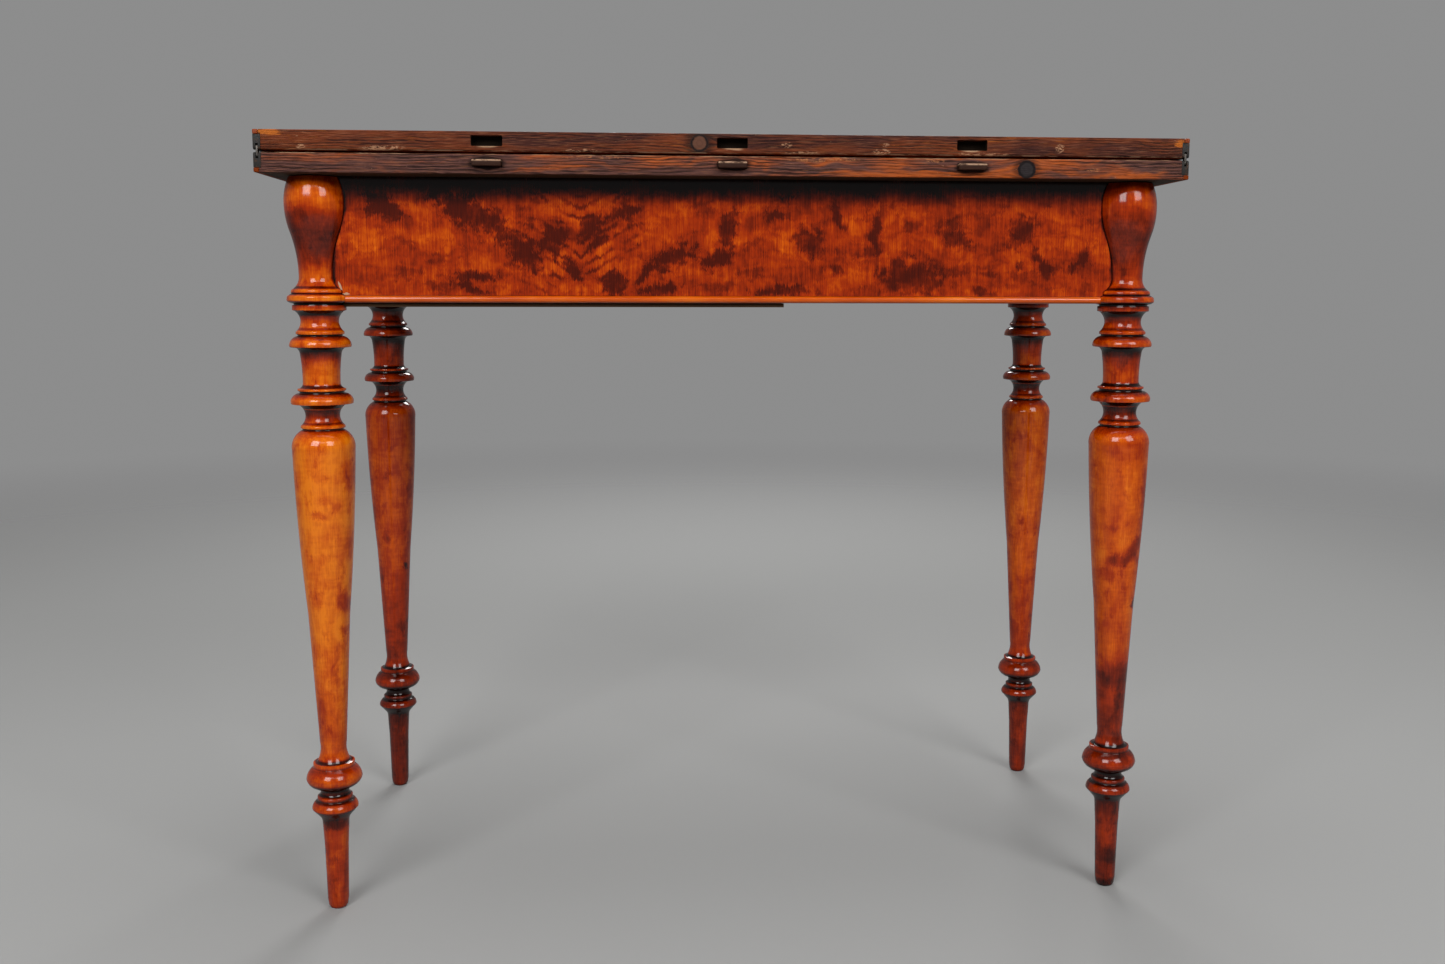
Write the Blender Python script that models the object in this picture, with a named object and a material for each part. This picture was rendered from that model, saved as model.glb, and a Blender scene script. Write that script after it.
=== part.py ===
"""Fold-over games table with a swivel top on four turned legs.

The frame stands on the floor with its middle at the origin. +X runs along the
meeting edge of the leaves, +Z is up, and the hinge side faces -Y. The table is
modelled closed: the upper leaf lies face down on the lower leaf. To open it, the
top turns a quarter turn clockwise and the upper leaf then unfolds on two links.
"""

import math

import bmesh
import bpy
from mathutils import Matrix, Vector

MM = 0.001

# Overall sizes
TABLE_HEIGHT = 764 * MM
LEAF_LENGTH = 880 * MM
LEAF_DEPTH = 440 * MM
LEAF_THICKNESS = 18.5 * MM
LEG_INSET = 45 * MM

# Clearances
SEAT_GAP = 0.3 * MM
SLIDE_GAP = 0.3 * MM
LEG_TOP_GAP = 1.0 * MM
PIN_GAP = 0.1 * MM
LINK_SIDE_GAP = 0.2 * MM
OVERRUN = 3 * MM

# Leaves
CLOSED_GAP = 2.0 * MM
OPEN_GAP = 0.6 * MM
MEETING_ARRIS = 2.0 * MM
LIPPING_THICKNESS = 5 * MM
LIPPING_ARRIS = 1.2 * MM

# Tongues and mortises in the meeting edges
TONGUE_SPACING = 228 * MM
TONGUE_SIDE_COUNT = 1
TONGUE_WIDTH = 27 * MM
TONGUE_THICKNESS = 6 * MM
TONGUE_DEPTH_BELOW_FACE = 5.5 * MM
TONGUE_REACH = 7 * MM
TONGUE_ROOT = 20 * MM
TONGUE_ARRIS = 1.0 * MM
MORTISE_WIDTH = 29 * MM
MORTISE_TOP_CLEARANCE = 0.5 * MM
MORTISE_HEEL_CLEARANCE = 3.5 * MM
MORTISE_END_CLEARANCE = 5 * MM

# Link hinges
LINK_PITCH = 7.5 * MM
LINK_EYE_RADIUS = 2.2 * MM
LINK_THICKNESS = 2.2 * MM
HINGE_PIN_RADIUS = 1.1 * MM
EAR_RADIUS = 2.6 * MM
HINGE_PLATE_LENGTH = 60 * MM
HINGE_PLATE_HEIGHT = 14 * MM
HINGE_PLATE_THICKNESS = 7 * MM
HINGE_PIN_SET_IN = 0.2 * MM
LINK_SLOT_MARGIN = 0.8 * MM

# Turned legs, from the top down
BULB_HEIGHT = 106 * MM
BULB_RADIUS = 29.4 * MM
CAPITAL_HEIGHT = 19.5 * MM
CAPITAL_RADIUS = 29.6 * MM
UPPER_SPOOL_HEIGHT = 36 * MM
UPPER_SPOOL_RADIUS = 29 * MM
MIDDLE_SPOOL_HEIGHT = 55 * MM
MIDDLE_SPOOL_RADIUS = 29.4 * MM
LOWER_SPOOL_HEIGHT = 24 * MM
LOWER_SPOOL_RADIUS = 20.9 * MM
SHANK_RADIUS = 29.6 * MM
ANKLE_HEIGHT = 59 * MM
ANKLE_RADIUS = 27 * MM
FOOT_HEIGHT = 93 * MM
FOOT_RADIUS = 13 * MM
LEG_SIDES = 16

# Frame rails with their facings and beads
RAIL_THICKNESS = 20 * MM
RAIL_FACE_OUT = 7.5 * MM
FACING_THICKNESS = 1.2 * MM
BEAD_HEIGHT = 6.7 * MM
BEAD_REACH = 3.5 * MM
BEAD_STEPS = 6
TENON_THICKNESS = 8 * MM
TENON_SHOULDER = 18 * MM
TENON_WALL = 3.5 * MM
CORNER_BLOCK_LEG = 45 * MM
CORNER_BLOCK_HEIGHT = 60 * MM
CORNER_BLOCK_DROP = 24 * MM

# Pivot plank and card well
PLANK_WIDTH = 130 * MM
PLANK_THICKNESS = 22 * MM
PLANK_DROP = 1.0 * MM
HOUSING_DEPTH = 8 * MM
DIVIDER_THICKNESS = 8 * MM
WELL_BOTTOM_THICKNESS = 3.7 * MM
WELL_BOTTOM_SET_BACK = 4 * MM

# Swivel pivot and its stop
PIVOT_PLATE_LENGTH = 76 * MM
PIVOT_PLATE_WIDTH = 34 * MM
PIVOT_PLATE_THICKNESS = 3 * MM
PIVOT_BOLT_RADIUS = 6 * MM
PIVOT_BOLT_TAIL = 4 * MM
WASHER_RADIUS = 17 * MM
WASHER_THICKNESS = 3 * MM
NUT_WIDTH = 20 * MM
NUT_HEIGHT = 9 * MM
NUT_ARRIS = 1.0 * MM
STOP_RADIUS = 40 * MM
STOP_PIN_RADIUS = 5 * MM
STOP_PIN_REACH = 6.5 * MM
STOP_PIN_ROOT = 9 * MM
STOP_GROOVE_DEPTH = 8 * MM

# Opening angles and facets
SWIVEL_ANGLE = math.radians(90)
FINE_ARC_STEPS = 10
SMALL_ARC_STEPS = 3
ROUND_SIDES = 12

# Leg turning: share of the section's height from its top, share of its radius,
# rise of the arc that leads there as a share of its chord, and facets of the arc
BULB_SHARES = (
    (0.00, 0.90, 0.00, 1),
    (0.19, 1.00, 0.10, 2),
    (0.51, 0.80, 0.07, 2),
    (0.83, 0.61, -0.07, 2),
    (1.00, 0.85, -0.18, 2),
)
CAPITAL_SHARES = (
    (0.20, 0.85, 0.00, 1),
    (0.32, 0.96, 0.00, 1),
    (0.45, 1.00, 0.00, 1),
    (0.58, 0.96, 0.00, 1),
    (0.63, 0.81, 0.00, 1),
    (1.00, 0.83, 0.00, 1),
)
FLANGE_SHARE = 0.45
UPPER_SPOOL_SHARES = (
    (0.00, 0.770, 0.00, 1),
    (0.55, 0.750, -0.23, 4),
    (0.57, 0.770, 0.00, 1),
    (0.635, 0.770, 0.00, 1),
    (0.645, 0.710, 0.00, 1),
    (0.68, 0.710, 0.00, 1),
    (0.93, 1.000, 0.17, 3),
    (0.98, 0.985, 0.00, 1),
)
MIDDLE_SPOOL_SHARES = (
    (0.00, 0.770, 0.00, 1),
    (0.10, 0.660, -0.12, 2),
    (0.62, 0.598, -0.02, 1),
    (0.715, 0.770, -0.20, 2),
    (0.75, 0.770, 0.00, 1),
    (0.76, 0.710, 0.00, 1),
    (0.79, 0.710, 0.00, 1),
    (0.925, 1.000, 0.17, 3),
    (0.98, 0.985, 0.00, 1),
)
LOWER_SPOOL_SHARES = (
    (0.00, 1.030, 0.00, 1),
    (0.83, 0.980, -0.245, 4),
    (0.85, 1.000, 0.00, 1),
    (0.93, 1.000, 0.00, 1),
    (0.95, 0.920, 0.00, 1),
    (1.00, 0.920, 0.00, 1),
)
SHANK_SHARES = (
    (0.06, 1.00, 0.165, 3),
    (0.55, 0.67, 0.008, 2),
    (0.94, 0.436, 0.00, 1),
    (1.00, 0.55, -0.20, 2),
)
ANKLE_SHARES = (
    (0.01, 0.74, 0.00, 1),
    (0.09, 0.74, 0.00, 1),
    (0.29, 1.00, 0.12, 2),
    (0.44, 0.60, 0.18, 2),
    (0.585, 0.57, -0.25, 2),
    (0.60, 0.63, 0.00, 1),
    (0.67, 0.63, 0.00, 1),
    (0.81, 0.83, 0.15, 2),
    (0.97, 0.52, 0.00, 1),
)
FOOT_SHARES = (
    (0.02, 1.00, 0.00, 1),
    (0.30, 0.89, 0.00, 1),
    (0.90, 0.79, 0.00, 1),
    (0.97, 0.72, 0.00, 1),
    (1.00, 0.58, 0.00, 1),
)

# Levels and places that follow from the sizes
UPPER_FACE_Z = TABLE_HEIGHT - LEAF_THICKNESS
LOWER_FACE_Z = UPPER_FACE_Z - CLOSED_GAP
UNDERSIDE_Z = LOWER_FACE_Z - LEAF_THICKNESS
RAIL_TOP_Z = UNDERSIDE_Z - SLIDE_GAP
LEG_TOP_Z = UNDERSIDE_Z - LEG_TOP_GAP
SHANK_HEIGHT = (
    LEG_TOP_Z - BULB_HEIGHT - CAPITAL_HEIGHT - UPPER_SPOOL_HEIGHT
    - MIDDLE_SPOOL_HEIGHT - LOWER_SPOOL_HEIGHT - ANKLE_HEIGHT - FOOT_HEIGHT
)
BEAD_MID_Z = LEG_TOP_Z - BULB_HEIGHT - FLANGE_SHARE * CAPITAL_HEIGHT
BEAD_TOP_Z = BEAD_MID_Z + BEAD_HEIGHT / 2
BEAD_BOTTOM_Z = BEAD_TOP_Z - BEAD_HEIGHT
RAIL_BOTTOM_Z = BEAD_TOP_Z + SEAT_GAP
WELL_BOTTOM_TOP_Z = BEAD_BOTTOM_Z - SEAT_GAP
PLANK_TOP_Z = RAIL_TOP_Z - PLANK_DROP
PLANK_BOTTOM_Z = PLANK_TOP_Z - PLANK_THICKNESS

HALF_RUN_X = LEAF_LENGTH / 2 - LEG_INSET
HALF_RUN_Y = LEAF_DEPTH / 2 - LEG_INSET
RAIL_FACE_IN = RAIL_THICKNESS - RAIL_FACE_OUT
FACING_OUT = RAIL_FACE_OUT + SEAT_GAP + FACING_THICKNESS
TENON_SHIFT = RAIL_THICKNESS / 2 - RAIL_FACE_OUT
TENON_END = TENON_SHIFT + TENON_THICKNESS / 2 + TENON_WALL
MEETING_Y = -LEAF_DEPTH / 2
PIVOT_X = LEAF_DEPTH / 4
PIVOT_Y = -LEAF_DEPTH / 4
HINGE_PIN_DEPTH = (LINK_PITCH - CLOSED_GAP) / 2
HINGE_PIN_Y = MEETING_Y + (LINK_PITCH - OPEN_GAP) / 2
LINK_MID_X = LEAF_LENGTH / 2 - HINGE_PLATE_THICKNESS / 2


def clear_scene():
    for old in list(bpy.data.objects):
        bpy.data.objects.remove(old)


def material(name, colour, roughness, metallic=0.0):
    made = bpy.data.materials.new(name)
    made.use_nodes = True
    shader = made.node_tree.nodes["Principled BSDF"]
    shader.inputs["Base Color"].default_value = (*colour, 1.0)
    shader.inputs["Roughness"].default_value = roughness
    shader.inputs["Metallic"].default_value = metallic
    made.diffuse_color = (*colour, 1.0)
    return made


def solid_from(name, bm):
    bmesh.ops.recalc_face_normals(bm, faces=bm.faces)
    mesh = bpy.data.meshes.new(name)
    bm.to_mesh(mesh)
    bm.free()
    body = bpy.data.objects.new(name, mesh)
    bpy.context.scene.collection.objects.link(body)
    return body


def prism(name, outline, axis, low, high):
    """A flat outline drawn square to an axis and extruded along it from low to high.

    The outline's points are (y, z) for X, (x, z) for Y and (x, y) for Z."""
    place = {
        "X": lambda u, v, w: (w, u, v),
        "Y": lambda u, v, w: (u, w, v),
        "Z": lambda u, v, w: (u, v, w),
    }[axis]
    bm = bmesh.new()
    corners = [bm.verts.new(place(u, v, low)) for u, v in outline]
    face = bm.faces.new(corners)
    grown = bmesh.ops.extrude_face_region(bm, geom=[face])["geom"]
    moved = [item for item in grown if isinstance(item, bmesh.types.BMVert)]
    bmesh.ops.translate(bm, verts=moved, vec=Vector(place(0, 0, high - low)))
    return solid_from(name, bm)


def block(name, low, high):
    outline = [(low[0], low[1]), (high[0], low[1]), (high[0], high[1]), (low[0], high[1])]
    return prism(name, outline, "Z", low[2], high[2])


def lathe(name, profile, sides, ring=False):
    """A profile of (radius, height) points turned about the Z axis.

    A ring's profile is closed and keeps off the axis."""
    bm = bmesh.new()
    points = [bm.verts.new((radius, 0, height)) for radius, height in profile]
    edges = [bm.edges.new(pair) for pair in zip(points, points[1:])]
    if ring:
        edges.append(bm.edges.new((points[-1], points[0])))
    bmesh.ops.spin(
        bm, geom=points + edges, cent=(0, 0, 0), axis=(0, 0, 1), angle=2 * math.pi, steps=sides
    )
    bmesh.ops.remove_doubles(bm, verts=bm.verts, dist=PIN_GAP / sides)
    return solid_from(name, bm)


def move(body, offset):
    body.data.transform(Matrix.Translation(Vector(offset)))
    return body


def turn(body, angle, axis):
    body.data.transform(Matrix.Rotation(angle, 4, axis))
    return body


def combine(body, tool, operation):
    """The body with the tool cut out of it or joined to it; the tool is used up."""
    modifier = body.modifiers.new(operation, "BOOLEAN")
    modifier.operation = operation
    modifier.solver = "EXACT"
    modifier.object = tool
    graph = bpy.context.evaluated_depsgraph_get()
    graph.update()
    result = bpy.data.meshes.new_from_object(body.evaluated_get(graph))
    body.modifiers.clear()
    body.data = result
    bpy.data.objects.remove(tool)
    return body


def cut(body, tool):
    return combine(body, tool, "DIFFERENCE")


def join(body, tool):
    return combine(body, tool, "UNION")


def bevel_edges(body, width, steps, chosen):
    """Rounds the edges whose two ends both pass the test."""
    bm = bmesh.new()
    bm.from_mesh(body.data)
    edges = [edge for edge in bm.edges if all(chosen(vert.co) for vert in edge.verts)]
    bmesh.ops.bevel(
        bm, geom=edges, offset=width, segments=steps, profile=0.5, affect="EDGES",
        clamp_overlap=True,
    )
    bm.to_mesh(body.data)
    bm.free()
    return body


def arc(centre, radius, start, end, steps):
    """Points of an arc between two angles, in radians, with both ends."""
    angles = [start + (end - start) * step / steps for step in range(steps + 1)]
    return [
        (centre[0] + radius * math.cos(angle), centre[1] + radius * math.sin(angle))
        for angle in angles
    ]


def finish(body, name, look, origin, parent=None):
    """Names the body, gives it its look and puts its origin where it belongs."""
    body.name = name
    body.data.name = name
    body.data.materials.clear()
    body.data.materials.append(look)
    body.data.shade_smooth()
    body.data.set_sharp_from_angle(angle=math.radians(35))
    move(body, -Vector(origin))
    body.location = origin
    if parent:
        body.parent = parent
        body.matrix_parent_inverse = parent.matrix_world.inverted()
    return body


def joint_empty(name, point, parent=None):
    empty = bpy.data.objects.new(name, None)
    bpy.context.scene.collection.objects.link(empty)
    empty.location = point
    bpy.context.view_layer.update()
    if parent:
        empty.parent = parent
        empty.matrix_parent_inverse = parent.matrix_world.inverted()
        bpy.context.view_layer.update()
    return empty


# Turned leg
def bowed(start, end, rise_share, steps):
    """Points of the arc that leads from one turning point down to the next.

    A positive rise bows outwards, a negative one makes a hollow."""
    if steps == 1:
        return [end]
    run, drop = end[0] - start[0], end[1] - start[1]
    chord = math.hypot(run, drop)
    half_angle = 2 * math.atan(2 * rise_share)
    radius = chord / (2 * math.sin(half_angle))
    along = (run / chord, drop / chord)
    out = (-along[1], along[0])
    points = []
    for step in range(1, steps + 1):
        angle = half_angle * (2 * step / steps - 1)
        forward = radius * math.sin(angle) + chord / 2
        aside = radius * (math.cos(angle) - math.cos(half_angle))
        points.append(
            (
                start[0] + along[0] * forward + out[0] * aside,
                start[1] + along[1] * forward + out[1] * aside,
            )
        )
    return points


def leg_profile(grow=0.0):
    """The leg's turned outline from its top to its foot, grown outwards by a clearance."""
    sections = (
        (BULB_HEIGHT, BULB_RADIUS, BULB_SHARES),
        (CAPITAL_HEIGHT, CAPITAL_RADIUS, CAPITAL_SHARES),
        (UPPER_SPOOL_HEIGHT, UPPER_SPOOL_RADIUS, UPPER_SPOOL_SHARES),
        (MIDDLE_SPOOL_HEIGHT, MIDDLE_SPOOL_RADIUS, MIDDLE_SPOOL_SHARES),
        (LOWER_SPOOL_HEIGHT, LOWER_SPOOL_RADIUS, LOWER_SPOOL_SHARES),
        (SHANK_HEIGHT, SHANK_RADIUS, SHANK_SHARES),
        (ANKLE_HEIGHT, ANKLE_RADIUS, ANKLE_SHARES),
        (FOOT_HEIGHT, FOOT_RADIUS, FOOT_SHARES),
    )
    points = []
    top = LEG_TOP_Z
    for height, radius, shares in sections:
        for down_share, out_share, rise_share, steps in shares:
            end = (out_share * radius, top - down_share * height)
            points += bowed(points[-1], end, rise_share, steps) if points else [end]
        top -= height
    return [(radius + grow, height) for radius, height in points]


def leg_solid(name):
    outline = leg_profile()
    return lathe(name, [(0, outline[0][1])] + outline + [(0, outline[-1][1])], LEG_SIDES)


def leg_clearance(x, y):
    """The leg with its clearance, for coping whatever meets it; it reaches above the leg."""
    outline = leg_profile(SEAT_GAP)
    top = LEG_TOP_Z + LEG_TOP_GAP + OVERRUN
    rim = (outline[0][0], top)
    solid = lathe("leg_clearance", [(0, top), rim] + outline + [(0, outline[-1][1])], LEG_SIDES)
    return move(solid, (x, y, 0))


def tenon_span(grow):
    """The tenons' levels, low and high, with a clearance."""
    low = RAIL_BOTTOM_Z + TENON_SHOULDER - grow
    high = LEG_TOP_Z - TENON_SHOULDER + grow
    return low, high


def add_legs(birch):
    """Four legs from one turned blank with two mortises, each turned to face its corner."""
    low, high = tenon_span(SEAT_GAP)
    near = TENON_END - SEAT_GAP
    far = max(BULB_RADIUS, CAPITAL_RADIUS) + OVERRUN
    side_low = TENON_SHIFT - TENON_THICKNESS / 2 - SEAT_GAP
    side_high = TENON_SHIFT + TENON_THICKNESS / 2 + SEAT_GAP
    corners = (
        ("front_left_leg", -1, -1),
        ("front_right_leg", 1, -1),
        ("back_right_leg", 1, 1),
        ("back_left_leg", -1, 1),
    )
    for quarter_turns, (name, side_x, side_y) in enumerate(corners):
        leg = leg_solid(name)
        cut(leg, block("mortise_x", (near, side_low, low), (far, side_high, high)))
        cut(leg, block("mortise_y", (side_low, near, low), (side_high, far, high)))
        turn(leg, quarter_turns * math.pi / 2, "Z")
        place = (side_x * HALF_RUN_X, side_y * HALF_RUN_Y, 0)
        move(leg, place)
        finish(leg, name, birch, place)


# Frame
def frame_sides():
    """Each side of the frame, a quarter turn after the one before: half its run between
    leg axes, and its distance from the middle."""
    return (
        ("front", HALF_RUN_X, HALF_RUN_Y),
        ("right", HALF_RUN_Y, HALF_RUN_X),
        ("back", HALF_RUN_X, HALF_RUN_Y),
        ("left", HALF_RUN_Y, HALF_RUN_X),
    )


def coped(body, half_run):
    """A piece along a rail's line with both ends fitted round the legs."""
    cut(body, leg_clearance(-half_run, 0))
    cut(body, leg_clearance(half_run, 0))
    return body


def seated(body, quarter_turns, distance):
    """Moves a piece from the rail's own line to its side of the frame."""
    move(body, (0, -distance, 0))
    return turn(body, quarter_turns * math.pi / 2, "Z")


def rail_end(half_run):
    return half_run - RAIL_FACE_IN - SEAT_GAP


def rail_solid(half_run):
    end = rail_end(half_run)
    rail = block("rail", (-end, -RAIL_FACE_OUT, RAIL_BOTTOM_Z), (end, RAIL_FACE_IN, RAIL_TOP_Z))
    coped(rail, half_run)
    low, high = tenon_span(0)
    reach = half_run - TENON_END
    root = end - CAPITAL_RADIUS - OVERRUN
    side_low = TENON_SHIFT - TENON_THICKNESS / 2
    side_high = TENON_SHIFT + TENON_THICKNESS / 2
    for side in (-1, 1):
        inner, outer = sorted((side * root, side * reach))
        join(rail, block("tenon", (inner, side_low, low), (outer, side_high, high)))
    return rail


def facing_solid(half_run):
    end = rail_end(half_run)
    low = (-end, -FACING_OUT, RAIL_BOTTOM_Z)
    high = (end, -RAIL_FACE_OUT - SEAT_GAP, RAIL_TOP_Z)
    return coped(block("facing", low, high), half_run)


def bead_solid(half_run):
    """A strip as deep as the rail whose outer edge is rounded."""
    end = rail_end(half_run)
    round_radius = BEAD_HEIGHT / 2
    nose = -FACING_OUT - BEAD_REACH + round_radius
    outline = [(RAIL_FACE_IN, BEAD_TOP_Z)]
    outline += arc((nose, BEAD_MID_Z), round_radius, math.pi / 2, 3 * math.pi / 2, BEAD_STEPS)
    outline += [(RAIL_FACE_IN, BEAD_BOTTOM_Z)]
    return coped(prism("bead", outline, "X", -end, end), half_run)


def housing(grow):
    """The pivot plank's outline with a clearance: low and high corners."""
    half_width = PLANK_WIDTH / 2 + grow
    half_length = HALF_RUN_Y - RAIL_FACE_IN + HOUSING_DEPTH + grow
    low = (PIVOT_X - half_width, -half_length, PLANK_BOTTOM_Z - grow)
    high = (PIVOT_X + half_width, half_length, PLANK_TOP_Z + grow)
    return low, high


def add_frame_sides(pine, flame_birch, birch):
    for quarter_turns, (side, half_run, distance) in enumerate(frame_sides()):
        rail = seated(rail_solid(half_run), quarter_turns, distance)
        if side in ("front", "back"):
            low, high = housing(SEAT_GAP)
            cut(rail, block("housing", low, (high[0], high[1], RAIL_TOP_Z + OVERRUN)))
        middle = Matrix.Rotation(quarter_turns * math.pi / 2, 4, "Z") @ Vector((0, -distance, 0))
        finish(rail, side + "_rail", pine, middle)
        facing = seated(facing_solid(half_run), quarter_turns, distance)
        finish(facing, side + "_apron_facing", flame_birch, middle)
        bead = seated(bead_solid(half_run), quarter_turns, distance)
        finish(bead, side + "_apron_bead", birch, middle)


def add_corner_blocks(pine):
    """Glue blocks in the corners of the frame, hollowed round the legs."""
    inner_x = HALF_RUN_X - RAIL_FACE_IN - SEAT_GAP
    inner_y = HALF_RUN_Y - RAIL_FACE_IN - SEAT_GAP
    top = RAIL_TOP_Z - CORNER_BLOCK_DROP
    for front, side_y in (("front", -1), ("back", 1)):
        for left, side_x in (("left", -1), ("right", 1)):
            outline = [
                (side_x * inner_x, side_y * inner_y),
                (side_x * (inner_x - CORNER_BLOCK_LEG), side_y * inner_y),
                (side_x * inner_x, side_y * (inner_y - CORNER_BLOCK_LEG)),
            ]
            glue_block = prism("corner", outline, "Z", top - CORNER_BLOCK_HEIGHT, top)
            cut(glue_block, leg_clearance(side_x * HALF_RUN_X, side_y * HALF_RUN_Y))
            origin = (side_x * inner_x, side_y * inner_y, top)
            finish(glue_block, front + "_" + left + "_corner_block", pine, origin)


def stop_groove():
    """A quarter-circle groove round the pivot for the stop pin."""
    half_width = STOP_PIN_RADIUS + SEAT_GAP
    centre = (PIVOT_X, PIVOT_Y)
    start = math.pi
    end = math.pi - SWIVEL_ANGLE
    first = arc(centre, STOP_RADIUS, start, start, 1)[0]
    last = arc(centre, STOP_RADIUS, end, end, 1)[0]
    outline = arc(centre, STOP_RADIUS + half_width, start, end, FINE_ARC_STEPS)
    outline += arc(last, half_width, end, end - math.pi, FINE_ARC_STEPS)[1:-1]
    outline += arc(centre, STOP_RADIUS - half_width, end, start, FINE_ARC_STEPS)
    outline += arc(first, half_width, start + math.pi, start, FINE_ARC_STEPS)[1:-1]
    bottom = PLANK_TOP_Z - STOP_GROOVE_DEPTH
    return prism("groove", outline, "Z", bottom, PLANK_TOP_Z + OVERRUN)


def cylinder(name, x, y, radius, low, high):
    solid = lathe(name, [(0, high), (radius, high), (radius, low), (0, low)], ROUND_SIDES)
    return move(solid, (x, y, 0))


def add_card_well(pine):
    """The plank that carries the pivot, the divider under it and the well's bottom."""
    low, high = housing(0)
    plank = block("plank", low, high)
    bore = PIVOT_BOLT_RADIUS + SEAT_GAP
    hole = cylinder("bore", PIVOT_X, PIVOT_Y, bore, low[2] - OVERRUN, high[2] + OVERRUN)
    cut(plank, hole)
    cut(plank, stop_groove())
    finish(plank, "pivot_plank", pine, (PIVOT_X, PIVOT_Y, PLANK_TOP_Z))

    divider_left = PIVOT_X - PLANK_WIDTH / 2
    divider_right = divider_left + DIVIDER_THICKNESS
    half_depth = HALF_RUN_Y - RAIL_FACE_IN - SEAT_GAP
    divider_low = WELL_BOTTOM_TOP_Z + SEAT_GAP
    divider_high = PLANK_BOTTOM_Z - SEAT_GAP
    divider = block(
        "divider",
        (divider_left, -half_depth, divider_low),
        (divider_right, half_depth, divider_high),
    )
    finish(divider, "card_well_divider", pine, (divider_left, 0, divider_low))

    reach = FACING_OUT - WELL_BOTTOM_SET_BACK
    bottom = block(
        "bottom",
        (-HALF_RUN_X - reach, -HALF_RUN_Y - reach, WELL_BOTTOM_TOP_Z - WELL_BOTTOM_THICKNESS),
        (divider_right, HALF_RUN_Y + reach, WELL_BOTTOM_TOP_Z),
    )
    for side_y in (-1, 1):
        cut(bottom, leg_clearance(-HALF_RUN_X, side_y * HALF_RUN_Y))
    finish(bottom, "card_well_bottom", pine, (0, 0, WELL_BOTTOM_TOP_Z))


# Swivel pivot
def pivot_plate_outline(grow):
    half_width = PIVOT_PLATE_WIDTH / 2
    straight = PIVOT_PLATE_LENGTH / 2 - half_width
    radius = half_width + grow
    outline = arc((PIVOT_X, PIVOT_Y + straight), radius, 0, math.pi, FINE_ARC_STEPS)
    outline += arc((PIVOT_X, PIVOT_Y - straight), radius, math.pi, 2 * math.pi, FINE_ARC_STEPS)
    return outline


def add_swivel_pivot(iron, beech, swivel):
    """An iron plate with a bolt, let into the lower leaf, and its washer and nut."""
    plate_bottom = UNDERSIDE_Z + SEAT_GAP
    plate_top = plate_bottom + PIVOT_PLATE_THICKNESS
    washer_top = PLANK_BOTTOM_Z - SEAT_GAP
    washer_bottom = washer_top - WASHER_THICKNESS
    nut_top = washer_bottom - SEAT_GAP
    nut_bottom = nut_top - NUT_HEIGHT
    origin = (PIVOT_X, PIVOT_Y, UNDERSIDE_Z)

    plate = prism("plate", pivot_plate_outline(0), "Z", plate_bottom, plate_top)
    bolt_bottom = nut_bottom - PIVOT_BOLT_TAIL
    mid_plate = (plate_bottom + plate_top) / 2
    join(plate, cylinder("bolt", PIVOT_X, PIVOT_Y, PIVOT_BOLT_RADIUS, bolt_bottom, mid_plate))
    finish(plate, "swivel_pivot_bolt", iron, origin, swivel)

    bore = PIVOT_BOLT_RADIUS + SEAT_GAP
    washer_profile = [
        (bore, washer_top),
        (WASHER_RADIUS, washer_top),
        (WASHER_RADIUS, washer_bottom),
        (bore, washer_bottom),
    ]
    washer = move(lathe("washer", washer_profile, LEG_SIDES, ring=True), (PIVOT_X, PIVOT_Y, 0))
    finish(washer, "swivel_washer", iron, origin, swivel)

    half = NUT_WIDTH / 2
    nut = block(
        "nut",
        (PIVOT_X - half, PIVOT_Y - half, nut_bottom),
        (PIVOT_X + half, PIVOT_Y + half, nut_top),
    )
    bevel_edges(nut, NUT_ARRIS, 1, lambda point: point.z < (nut_bottom + nut_top) / 2)
    cut(nut, cylinder("bore", PIVOT_X, PIVOT_Y, bore, nut_bottom - OVERRUN, nut_top + OVERRUN))
    finish(nut, "swivel_nut", iron, origin, swivel)

    pin_x = PIVOT_X - STOP_RADIUS
    pin_bottom = PLANK_TOP_Z - STOP_PIN_REACH
    pin_top = UNDERSIDE_Z + STOP_PIN_ROOT
    pin = cylinder("pin", pin_x, PIVOT_Y, STOP_PIN_RADIUS, pin_bottom, pin_top)
    finish(pin, "swivel_stop_pin", beech, origin, swivel)


# Leaves
def leaf_outline(far_y, face_z, outward):
    """A leaf's section square to its meeting edge.

    outward is -1 for the lower leaf, whose body lies below its playing face,
    and 1 for the upper leaf, which lies face down."""
    centre = (MEETING_Y + MEETING_ARRIS, MEETING_ARRIS)
    corner = arc(centre, MEETING_ARRIS, math.pi, 3 * math.pi / 2, SMALL_ARC_STEPS)
    section = [(far_y, 0), (far_y, LEAF_THICKNESS), (MEETING_Y, LEAF_THICKNESS)] + corner
    return [(y, face_z + outward * depth) for y, depth in section]


def hinge_recess_outline(face_z, outward):
    """The mortise for a hinge plate, open to the meeting edge and the playing face."""
    radius = HINGE_PLATE_HEIGHT / 2 + SEAT_GAP
    middle = HINGE_PIN_DEPTH - EAR_RADIUS + HINGE_PLATE_HEIGHT / 2
    end = HINGE_PIN_Y - EAR_RADIUS + HINGE_PLATE_LENGTH - HINGE_PLATE_HEIGHT / 2
    outline = [(MEETING_Y - OVERRUN, -OVERRUN), (end, -OVERRUN)]
    outline += arc((end, middle), radius, -math.pi / 2, math.pi / 2, FINE_ARC_STEPS)
    outline += [(MEETING_Y - OVERRUN, middle + radius)]
    return [(y, face_z + outward * depth) for y, depth in outline]


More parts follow.
